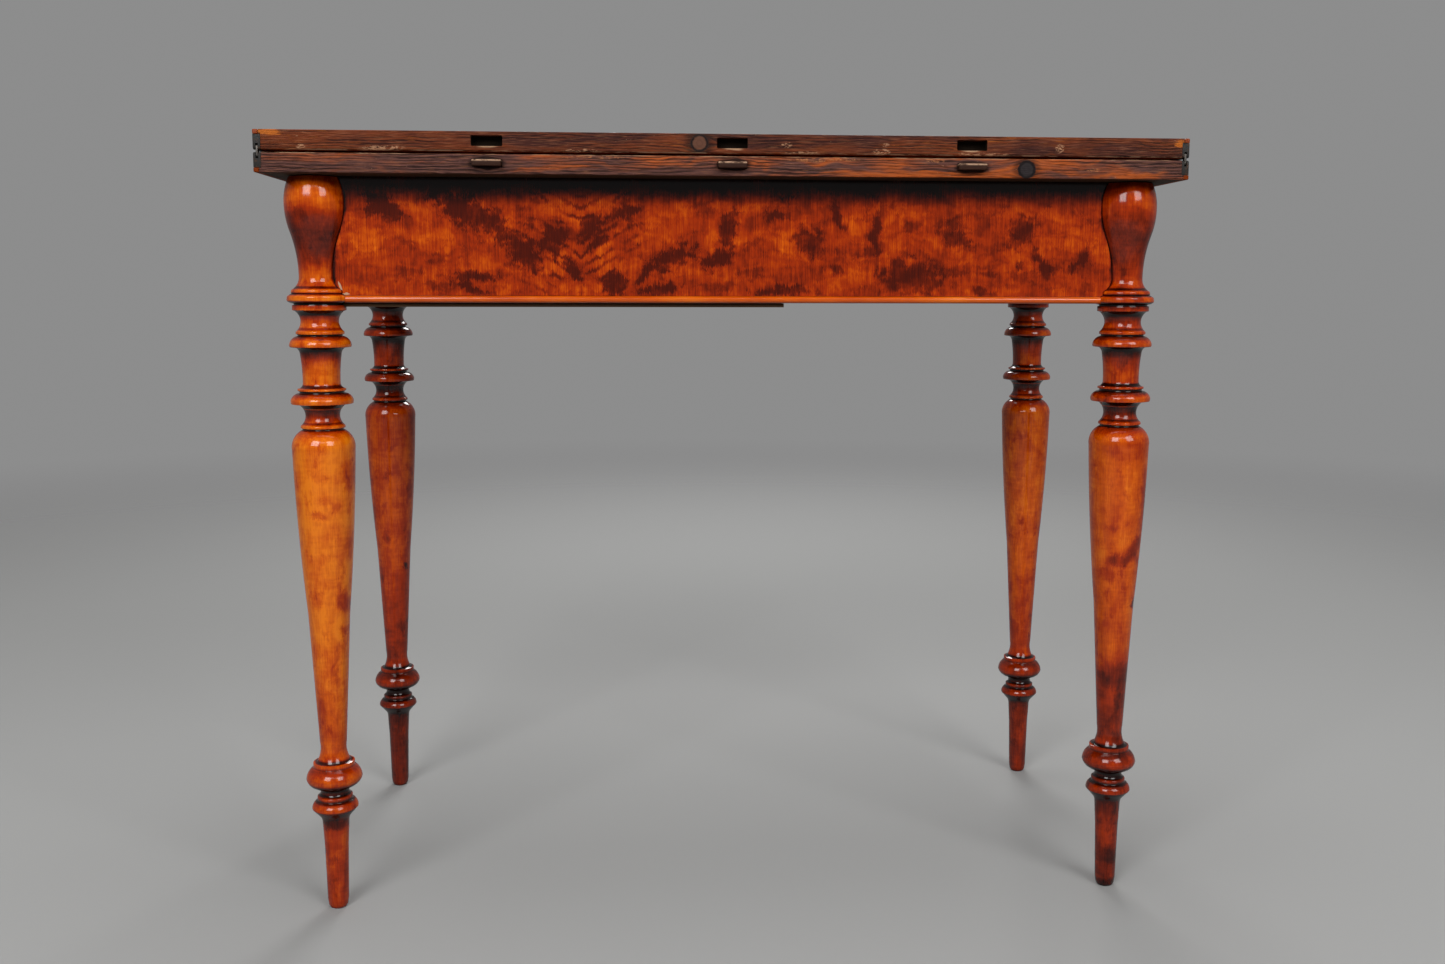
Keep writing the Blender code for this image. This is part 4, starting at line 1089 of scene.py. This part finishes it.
def smooth(body, angle=SMOOTH_ANGLE):
    body.data.shade_smooth()
    body.data.set_sharp_from_angle(angle=angle)
    return body


def dress(body, *looks):
    body.data.materials.clear()
    for look in looks:
        body.data.materials.append(look)


def install(piece, look, body, *nodes):
    """Dresses a piece, lets it ride on its body and hides the parts it stands for."""
    dress(piece, look)
    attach(piece, body)
    if nodes:
        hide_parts(*nodes)


def mark_hollows(body, profile):
    """Stores how deep each vertex lies in a groove and how far under a ring, from 0 to 1, for the
    painted darkening of the legs.
    """
    depths, shades = {}, {}
    for radius, height in profile:
        near = [r for r, h in profile if abs(h - height) < HOLLOW_WINDOW]
        above = [(r - radius) / (h - height) for r, h in profile if 0 < h - height < SHADE_WINDOW]
        key = round(height / MM, HEIGHT_DIGITS)
        depths[key] = min(1, (max(near) - radius) / HOLLOW_FULL)
        shades[key] = min(1, max([0] + above) / SHADE_FULL)
    for name, table in (("groove_dirt_and_shade", depths), ("shade", shades)):
        layer = body.data.attributes.new(name, "FLOAT", "POINT")
        keys = [round(vert.co.z / MM, HEIGHT_DIGITS) for vert in body.data.vertices]
        values = [table.get(key, 0) for key in keys]
        layer.data.foreach_set("value", values)


def add_legs():
    profile = leg_profile()
    closed = [(0, profile[0][1])] + profile + [(0, profile[-1][1])]
    for front, side_y in (("front", -1), ("back", 1)):
        for hand, side_x in HANDS:
            node = front + "_" + hand + "_leg"
            leg = smooth(lathe("turned_" + node, closed, LEG_SIDES))
            mark_hollows(leg, profile)
            place = (side_x * LEG_RUN_X, TABLE_SHIFT_Y + side_y * LEG_RUN_Y, 0)
            leg.data.transform(Matrix.Translation(place))
            install(leg, leg_look(node), "frame", node)


def leg_clearance(x):
    """The upper part of a leg with its clearance, standing at a place along X."""
    profile = [(r + SEAT_GAP, h) for r, h in leg_profile() if h > BEAD_BOTTOM_Z - OVERRUN]
    top = LEG_TOP_Z + OVERRUN
    closed = [(0, top), (profile[0][0], top)] + profile + [(0, profile[-1][1])]
    solid = lathe("clearance", closed, LEG_SIDES)
    solid.data.transform(Matrix.Translation((x, 0, 0)))
    return solid


def prism(name, outline, axis, low, high):
    """A flat outline drawn square to an axis and extruded along it from low to high."""
    bm = bmesh.new()
    near, far = [
        [bm.verts.new((w, u, v) if axis == "X" else (u, v, w)) for u, v in outline]
        for w in (low, high)
    ]
    bm.faces.new(near)
    bm.faces.new(list(reversed(far)))
    for first in range(len(outline)):
        second = (first + 1) % len(outline)
        bm.faces.new((near[second], near[first], far[first], far[second]))
    return solid_from(name, bm)


def block(name, low, high):
    outline = [(low[0], low[1]), (high[0], low[1]), (high[0], high[1]), (low[0], high[1])]
    return prism(name, outline, "Z", low[2], high[2])


def changed(body, kind, **settings):
    """The body with one modifier applied to its mesh."""
    modifier = body.modifiers.new(kind, kind)
    for key, value in settings.items():
        setattr(modifier, key, value)
    graph = bpy.context.evaluated_depsgraph_get()
    graph.update()
    result = bpy.data.meshes.new_from_object(body.evaluated_get(graph))
    body.modifiers.clear()
    body.data = result
    return body


def cut(body, tool, operation="DIFFERENCE"):
    """The body less the tool, or joined with it where the operation says so."""
    changed(body, "BOOLEAN", operation=operation, solver="EXACT", object=tool)
    bpy.data.objects.remove(tool)
    return body


def rounded(body, width, steps=ROUND_STEPS):
    """Rounds every sharp edge of the body."""
    return changed(
        body, "BEVEL", width=width, segments=steps, limit_method="ANGLE",
        angle_limit=ROUNDED_ANGLE, use_clamp_overlap=True,
    )


def arc(centre, radius, start, end, steps):
    angles = [start + (end - start) * step / steps for step in range(steps + 1)]
    x, y = centre
    return [(x + radius * math.cos(angle), y + radius * math.sin(angle)) for angle in angles]


def coped(body, half_run):
    cut(body, leg_clearance(-half_run))
    return cut(body, leg_clearance(half_run))


def add_aprons():
    """Veneer facings and half-round beads, coped round the turned legs."""
    for sides, half_run, distance in (
        (("front", "back"), LEG_RUN_X, LEG_RUN_Y),
        (("right", "left"), LEG_RUN_Y, LEG_RUN_X),
    ):
        end = half_run - RAIL_FACE_IN
        low = (-end, -FACING_OUT, RAIL_BOTTOM_Z)
        facing = coped(block("facing", low, (end, -FACING_IN, RAIL_TOP_Z)), half_run)
        radius = BEAD_HEIGHT / 2
        nose = (-FACING_OUT - BEAD_REACH + radius, BEAD_TOP_Z - radius)
        outline = [(RAIL_FACE_IN, BEAD_TOP_Z)]
        outline += arc(nose, radius, math.pi / 2, 3 * math.pi / 2, BEAD_STEPS)
        outline += [(RAIL_FACE_IN, BEAD_BOTTOM_Z)]
        bead = coped(prism("bead", outline, "X", -end, end), half_run)
        for side, turns in zip(sides, (0, 2)):
            quarter = turns + (sides[0] == "right")
            for solid, kind, look in (
                (facing, "_apron_facing", flame_look),
                (bead, "_apron_bead", bead_look),
            ):
                piece = bpy.data.objects.new(side + kind + "_fine", solid.data.copy())
                bpy.context.scene.collection.objects.link(piece)
                spin = Matrix.Rotation(quarter * math.pi / 2, 4, "Z")
                shift = Matrix.Translation((0, TABLE_SHIFT_Y, 0))
                piece.data.transform(shift @ spin @ Matrix.Translation((0, -distance, 0)))
                install(smooth(piece), look(side), "frame", side + kind)
        bpy.data.objects.remove(facing)
        bpy.data.objects.remove(bead)


# Leaves
def leaf_faces(leaf):
    """The heights of a leaf's playing face and of its outer face."""
    low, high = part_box(leaf + "_leaf_core")
    return (low.z, high.z) if leaf == "upper" else (high.z, low.z)


def outward_of(leaf):
    """Which way along Z the outer face looks from the playing face."""
    return 1 if leaf == "upper" else -1


def worn(x, seed, pitch, reach):
    """A smooth random wear at a place along the leaf, from 0 to about reach."""
    return reach * (0.5 + 0.5 * noise.noise(Vector((x / pitch, seed, 0))))


def chip(x, seed):
    """Extra loss at the arris where a splinter has gone."""
    value = noise.noise(Vector((x / CHIP_PITCH, seed + CHIP_SEED, 0)))
    return max(0, value - CHIP_START) * CHIP_DEPTH


def leaf_ring(x, leaf, front, back, playing, outer):
    """One section of a leaf core square to its meeting edge, with worn arrises."""
    seed, outward = LEAF_SEEDS[leaf], outward_of(leaf)
    playing_round = ARRIS_PLAYING + worn(x, seed, PLAYING_WEAR_PITCH, ARRIS_WEAR) + chip(x, seed)
    outer_round = ARRIS_OUTER + worn(x, seed + OUTER_WEAR_SEED, OUTER_WEAR_PITCH, ARRIS_WEAR)
    face = front + worn(x, seed + FACE_WEAR_SEED, FACE_WEAR_PITCH, FACE_WEAR)
    ring = [(back, playing), (back, outer)]
    for round_, level, inward in ((outer_round, outer, -outward), (playing_round, playing, outward)):
        corner = []
        for step in range(ARRIS_STEPS + 1):
            angle = math.pi / 2 * step / ARRIS_STEPS
            rise = inward * round_ * (1 - math.cos(angle))
            corner.append((face + round_ * (1 - math.sin(angle)), level + rise))
        ring += corner if level == outer else corner[::-1]
    return [Vector((x, y, z)) for y, z in ring]


def lofted(name, rings):
    bm = bmesh.new()
    loops = [[bm.verts.new(point) for point in ring] for ring in rings]
    for first, second in zip(loops, loops[1:]):
        for here in range(len(first)):
            after = (here + 1) % len(first)
            bm.faces.new((first[here], first[after], second[after], second[here]))
    bm.faces.new(loops[0][::-1])
    bm.faces.new(loops[-1])
    return solid_from(name, bm)


def hinge_recess(side, leaf):
    """The cutter for a hinge plate's bed, open to the meeting edge and the playing face."""
    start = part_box(leaf + "_leaf_core")[0].y - OVERRUN
    radius = PLATE_HEIGHT / 2 + SEAT_GAP
    tail = (PLATE_TAIL_Y, PLATE_DEPTH_MIDDLE)
    outline = [(start, -OVERRUN), (PLATE_TAIL_Y, -OVERRUN)]
    outline += arc(tail, radius, -math.pi / 2, math.pi / 2, TAIL_STEPS)
    outline += [(start, PLATE_DEPTH_MIDDLE + radius)]
    inner = LEAF_HALF_LENGTH - PLATE_THICKNESS - SEAT_GAP
    ends = sorted((side * inner, side * (LEAF_HALF_LENGTH + OVERRUN)))
    return prism("recess", from_playing_face(outline, leaf), "X", *ends)


def from_playing_face(outline, leaf):
    """Turns depths under a leaf's playing face into heights."""
    face = leaf_faces(leaf)[0]
    return [(y, face + outward_of(leaf) * depth) for y, depth in outline]


def split_looks(core, leaf):
    """Gives each face of a leaf core its look: outer face, playing face, edge or pocket."""
    playing, outer = leaf_faces(leaf)
    pocket_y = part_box(leaf + "_leaf_core")[0].y + POCKET_START
    for face in core.data.polygons:
        middle = face.center
        flat = abs(face.normal.z) > FLAT_NORMAL
        if flat and abs(middle.z - outer) < FACE_TOLERANCE:
            face.material_index = 1
        elif flat and abs(middle.z - playing) < FACE_TOLERANCE:
            face.material_index = 2
        elif middle.y > pocket_y:
            face.material_index = 3


def add_leaf_core(leaf):
    """The core of a leaf, with its mortises, or the beds of its tongues, and its hinge beds."""
    node = leaf + "_leaf_core"
    low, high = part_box(node)
    count = LEAF_STATIONS
    places = [low.x + (high.x - low.x) * step / count for step in range(count + 1)]
    faces = leaf_faces(leaf)
    core = lofted("worn_" + node, [leaf_ring(x, leaf, low.y, high.y, *faces) for x in places])
    for side in (-1, 1):
        cut(core, hinge_recess(side, leaf))
    for name in TONGUES:
        tongue_low, tongue_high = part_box(name + "_tongue")
        x = middle_of(name + "_tongue")[0]
        if leaf == "upper":
            half, back = MORTISE_WIDTH / 2, low.y + MORTISE_DEPTH
            bottom, top = low.z + MORTISE_BOTTOM, low.z + MORTISE_TOP
        else:
            half, back = (tongue_high.x - tongue_low.x) / 2 + TONGUE_GAP, tongue_high.y + SEAT_GAP
            bottom, top = tongue_low.z - TONGUE_GAP, tongue_high.z + TONGUE_GAP
        pocket = block("pocket", (x - half, low.y - OVERRUN, bottom), (x + half, back, top))
        cut(core, rounded(pocket, POCKET_ROUND))
    smooth(core, CORE_SMOOTH_ANGLE)
    outer_look = flame_look("top") if leaf == "upper" else raw_look("underside")
    dress(core, edge_look(leaf), outer_look, playing_look(leaf), pocket_look())
    split_looks(core, leaf)
    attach(core, leaf + "_leaf")
    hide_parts(node)


def add_lippings(leaf):
    """Birch lippings on both ends and along the far edge, their outer arrises rounded."""
    for hand, side in HANDS:
        node = leaf + "_leaf_" + hand + "_lipping"
        low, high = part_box(node)
        centre = (low.y + ARRIS_PLAYING, ARRIS_PLAYING)
        corner = arc(centre, ARRIS_PLAYING, math.pi, 3 * math.pi / 2, LIPPING_CORNER_STEPS)
        thickness = high.z - low.z
        outline = [(high.y, 0), (high.y, thickness), (low.y, thickness)] + corner
        lipping = prism("fine_" + node, from_playing_face(outline, leaf), "X", low.x, high.x)
        rounded(lipping, LIPPING_ROUND, WIDE_ROUND_STEPS)
        cut(lipping, hinge_recess(side, leaf))
        install(smooth(lipping), lipping_look(), leaf + "_leaf", node)
    node = leaf + "_leaf_long_lipping"
    lipping = rounded(block("fine_" + node, *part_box(node)), LIPPING_ROUND, WIDE_ROUND_STEPS)
    install(smooth(lipping), lipping_look(), leaf + "_leaf", node)


def add_tongues():
    for name in TONGUES:
        node = name + "_tongue"
        tongue = rounded(block("worn_" + node, *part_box(node)), TONGUE_ROUND, WIDE_ROUND_STEPS)
        install(smooth(tongue), tongue_look(), "lower_leaf", node)


# Link hinges
def cross_bar(name, radius, low, high, y, z):
    """A round bar along X."""
    return prism(name, arc((y, z), radius, 0, 2 * math.pi, PIN_SIDES)[:-1], "X", low, high)


def screw_places(node):
    """Where a plate's two screws sit: Y and Z."""
    low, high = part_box(node)
    return [(low.y + share * (high.y - low.y), middle_of(node)[2]) for share in SCREW_SHARES]


def face_out(body, side, x, y, z):
    """Turns a body made upright to the side and moves it to its place."""
    turn = Matrix.Rotation(side * math.pi / 2, 4, "Y")
    body.data.transform(Matrix.Translation((x, y, z)) @ turn)


def add_screws(node, body, side, outer):
    """Countersunk slotted heads, just below the face of a plate."""
    waist = SCREW_RADIUS * SCREW_WAIST_SHARE
    profile = [(0, 0), (SCREW_RADIUS, 0), (waist, -SCREW_DEPTH), (0, -SCREW_DEPTH)]
    for number, (y, z) in enumerate(screw_places(node)):
        head = lathe("screw_" + str(number + 1) + "_" + node, profile, SCREW_SIDES)
        low = (-SCREW_SLOT / 2, -SCREW_RADIUS - OVERRUN, -SCREW_SLOT)
        slot = block("slot", low, (SCREW_SLOT / 2, SCREW_RADIUS + OVERRUN, OVERRUN))
        slot.data.transform(Matrix.Rotation(SCREW_TURNS[number], 4, "Z"))
        cut(head, slot)
        face_out(head, side, outer - side * SCREW_SET_IN, y, z)
        install(smooth(head), iron_look("screw"), body)


def add_hinge_plate(leaf, hand, side):
    """A plate let into the end of a leaf, with its slotted ear, its pin and its screws."""
    body = leaf + "_leaf"
    node = body + "_" + hand + "_hinge_plate"
    pin_node = body + "_" + hand + "_hinge_pin"
    low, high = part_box(node)
    face, outward = leaf_faces(leaf)[0], outward_of(leaf)
    pin_low, pin_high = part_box(pin_node)
    pin_radius = (pin_high.y - pin_low.y) / 2
    pin_y, pin_z = middle_of(pin_node)[1:]
    ear = pin_y - low.y
    depth_low = abs(pin_z - face) - ear
    tail = (high.y - PLATE_HEIGHT / 2, depth_low + PLATE_HEIGHT / 2)
    outline = arc((pin_y, abs(pin_z - face)), ear, math.pi, 3 * math.pi / 2, EAR_STEPS)
    outline += arc(tail, PLATE_HEIGHT / 2, -math.pi / 2, math.pi / 2, TAIL_STEPS)
    outline += [(low.y, depth_low + PLATE_HEIGHT)]
    plate = prism("fine_" + node, from_playing_face(outline, leaf), "X", low.x, high.x)
    rounded(plate, PLATE_ROUND)
    middle = (low.x + high.x) / 2
    link_low, link_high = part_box(hand + "_hinge_link")
    slot_half = (link_high.x - link_low.x) / 2 + SLOT_SIDE_GAP
    reach = link_high.y - pin_y + SLOT_MARGIN
    bottom, top = sorted((face - outward * OVERRUN, pin_z + outward * reach))
    start = (middle - slot_half, low.y - OVERRUN, bottom)
    cut(plate, block("slot", start, (middle + slot_half, pin_y + reach, top)))
    bore = pin_radius + PIN_GAP
    cut(plate, cross_bar("bore", bore, low.x - OVERRUN, high.x + OVERRUN, pin_y, pin_z))
    outer = low.x if side < 0 else high.x
    radius, waist = SCREW_RADIUS + SINK_GAP, SCREW_RADIUS * SCREW_WAIST_SHARE
    sink = [(0, OVERRUN), (radius, OVERRUN), (radius, -SINK_GAP)]
    sink += [(waist, -SCREW_DEPTH), (0, -SCREW_DEPTH)]
    for y, z in screw_places(node):
        tool = lathe("sink", sink, SCREW_SIDES)
        face_out(tool, side, outer, y, z)
        cut(plate, tool)
    install(smooth(plate), iron_look("plate"), body, node)
    add_screws(node, body, side, outer)
    pin = cross_bar("fine_" + pin_node, pin_radius, pin_low.x, pin_high.x, pin_y, pin_z)
    install(smooth(rounded(pin, PIN_ROUND)), steel_look("pin"), body, pin_node)


def add_links():
    for hand in ("left", "right"):
        node = hand + "_hinge_link"
        low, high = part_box(node)
        radius = (high.y - low.y) / 2
        y = low.y + radius
        outline = arc((y, high.z - radius), radius, 0, math.pi, LINK_STEPS)
        outline += arc((y, low.z + radius), radius, math.pi, 2 * math.pi, LINK_STEPS)
        link = rounded(prism("fine_" + node, outline, "X", low.x, high.x), LINK_ROUND)
        pin_low, pin_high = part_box("lower_leaf_" + hand + "_hinge_pin")
        bore = (pin_high.y - pin_low.y) / 2 + PIN_GAP
        for z in (low.z + radius, high.z - radius):
            cut(link, cross_bar("bore", bore, low.x - OVERRUN, high.x + OVERRUN, y, z))
        install(smooth(link), steel_look("link"), hand + "_link", node)


# Swivel pivot
def add_pivot():
    """The bolt with its plate, and its washer, its nut and the stop pin."""
    x, y = middle_of("swivel_washer")[:2]
    place = Matrix.Translation((x, y, 0))
    bore = PIVOT_BOLT_RADIUS + SEAT_GAP

    low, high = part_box("swivel_washer")
    washer = plain_round("fine_swivel_washer", (high.x - low.x) / 2, low.z, high.z, PIVOT_SIDES)
    cut(washer, plain_round("bore", bore, low.z - OVERRUN, high.z + OVERRUN, PIVOT_SIDES))
    washer.data.transform(place)
    washer = smooth(rounded(washer, PLATE_ROUND))
    install(washer, iron_look("washer"), "lower_leaf", "swivel_washer")

    low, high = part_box("swivel_nut")
    nut = rounded(block("fine_swivel_nut", low, high), NUT_ROUND, NUT_ROUND_STEPS)
    hole = plain_round("bore", bore, low.z - OVERRUN, high.z + OVERRUN, PIVOT_SIDES)
    hole.data.transform(place)
    install(smooth(cut(nut, hole)), iron_look("nut"), "lower_leaf", "swivel_nut")

    low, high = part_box("swivel_pivot_bolt")
    half_width = (high.x - low.x) / 2
    straight = (high.y - low.y) / 2 - half_width
    outline = arc((x, y + straight), half_width, 0, math.pi, PIVOT_PLATE_STEPS)
    outline += arc((x, y - straight), half_width, math.pi, 2 * math.pi, PIVOT_PLATE_STEPS)
    plate_low = high.z - PIVOT_PLATE_THICKNESS
    plate = rounded(prism("fine_swivel_pivot_bolt", outline, "Z", plate_low, high.z), PLATE_ROUND)
    top = high.z - PIVOT_PLATE_THICKNESS / 2
    profile = [(0, top), (PIVOT_BOLT_RADIUS, top), (PIVOT_BOLT_RADIUS, low.z + BOLT_ROUND)]
    profile += [(PIVOT_BOLT_RADIUS - BOLT_ROUND, low.z), (0, low.z)]
    bolt = lathe("bolt", profile, PIVOT_SIDES)
    bolt.data.transform(place)
    cut(plate, bolt, "UNION")
    install(smooth(plate), iron_look("pivot"), "lower_leaf", "swivel_pivot_bolt")

    low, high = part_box("swivel_stop_pin")
    radius = (high.x - low.x) / 2
    pin = plain_round("fine_swivel_stop_pin", radius, low.z, high.z, PIN_SIDES)
    pin.data.transform(Matrix.Translation((low.x + radius, low.y + radius, 0)))
    pin = smooth(rounded(pin, PLATE_ROUND))
    install(pin, raw_look("pin"), "lower_leaf", "swivel_stop_pin")


def dress_frame():
    """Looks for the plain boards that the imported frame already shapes."""
    boards = ["pivot_plank", "card_well_divider", "card_well_bottom"]
    boards += [side + "_rail" for side in ("front", "right", "back", "left")]
    for front in ("front", "back"):
        boards += [front + side + "corner_block" for side in ("_left_", "_right_")]
    for node in boards:
        dress(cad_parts[node], raw_look(node))


# Camera, lights and stage
def add_camera():
    data = bpy.data.cameras.new("camera")
    data.sensor_width = SENSOR_WIDTH
    data.lens = SENSOR_WIDTH * FOCAL_PIXELS / PICTURE_WIDTH
    data.shift_x = (PICTURE_WIDTH / 2 - PRINCIPAL_X) / PICTURE_WIDTH
    data.shift_y = (PRINCIPAL_Y - PICTURE_HEIGHT / 2) / PICTURE_WIDTH
    camera = bpy.data.objects.new("camera", data)
    level = Vector((-math.sin(CAMERA_YAW), math.cos(CAMERA_YAW), 0))
    side = Vector((math.cos(CAMERA_YAW), math.sin(CAMERA_YAW), 0))
    down = Vector((0, 0, -1))
    forward = level * math.cos(CAMERA_PITCH) + down * math.sin(CAMERA_PITCH)
    lower = down * math.cos(CAMERA_PITCH) - level * math.sin(CAMERA_PITCH)
    right = side * math.cos(CAMERA_ROLL) + lower * math.sin(CAMERA_ROLL)
    below = lower * math.cos(CAMERA_ROLL) - side * math.sin(CAMERA_ROLL)
    turned = Matrix((right, -below, -forward)).transposed().to_4x4()
    camera.matrix_world = Matrix.Translation(CAMERA_PLACE) @ turned
    bpy.context.scene.collection.objects.link(camera)
    bpy.context.scene.camera = camera


def add_lights():
    for name, (place, width, height, power) in LAMPS.items():
        data = bpy.data.lights.new(name, "AREA")
        data.shape = "RECTANGLE"
        data.size = width * MM
        data.size_y = height * MM
        data.energy = power
        light = bpy.data.objects.new(name, data)
        light.location = metres(place)
        aim = Vector(AIM_POINT) - Vector(metres(place))
        light.rotation_euler = aim.to_track_quat("-Z", "Y").to_euler()
        light.visible_camera = False
        bpy.context.scene.collection.objects.link(light)


def seen_share(look):
    """1 for rays that show the stage itself: from the camera, in gloss and through glass."""
    path = look.node("ShaderNodeLightPath").outputs
    share = look.highest(path["Is Camera Ray"], path["Is Glossy Ray"])
    return look.highest(share, path["Is Transmission Ray"])


def add_world():
    """A grey room, paler behind the object than before it, and dimmer as a light."""
    look = Look("world", bpy.data.worlds, "Background")
    behind = look.parts(look.place.node.outputs["Generated"])[1]
    seen = look.span(behind, -WORLD_TURN, WORLD_TURN, WORLD_AHEAD, WORLD_BEHIND)
    strength = look.node("ShaderNodeMapRange", (seen_share(look), 0, 1, WORLD_FILL, seen))
    look.fill(look.shader, {"Color": (1, 1, 1, 1), "Strength": strength.outputs[0]})
    bpy.context.scene.world = look.owner


def floor_look():
    """A plain pale floor that fades into the backdrop and is clear from below."""
    look = Look("floor")
    shade = look.mix(seen_share(look), FLOOR_BOUNCE, FLOOR_SEEN)
    look.fill(look.shader, {"Base Color": shade, "Roughness": 0.9, "Specular IOR Level": 0.1})
    distance = look.vector("LENGTH", look.place, (0, 0, 0))
    faded = look.span(distance, FLOOR_FADE_START, FLOOR_FADE_END)
    clear = look.highest(faded, look.node("ShaderNodeNewGeometry").outputs["Backfacing"])
    nothing = look.node("ShaderNodeBsdfTransparent").outputs[0]
    blend = look.node("ShaderNodeMixShader", (clear, look.shader.outputs[0], nothing))
    look.fill(look.tree.nodes["Material Output"], {"Surface": blend.outputs[0]})
    return look.owner


def add_floor():
    bm = bmesh.new()
    corners = ((-1, -1), (1, -1), (1, 1), (-1, 1))
    bm.faces.new([bm.verts.new((x * FLOOR_HALF, y * FLOOR_HALF, 0)) for x, y in corners])
    floor = placed("floor", bm)
    dress(floor, floor_look())


bpy.context.scene.view_settings.view_transform = "Standard"
add_camera()
add_lights()
add_world()
add_floor()
add_legs()
add_aprons()
dress_frame()
for leaf in ("lower", "upper"):
    add_leaf_core(leaf)
    add_lippings(leaf)
    for hand, side in HANDS:
        add_hinge_plate(leaf, hand, side)
add_tongues()
add_links()
add_pivot()
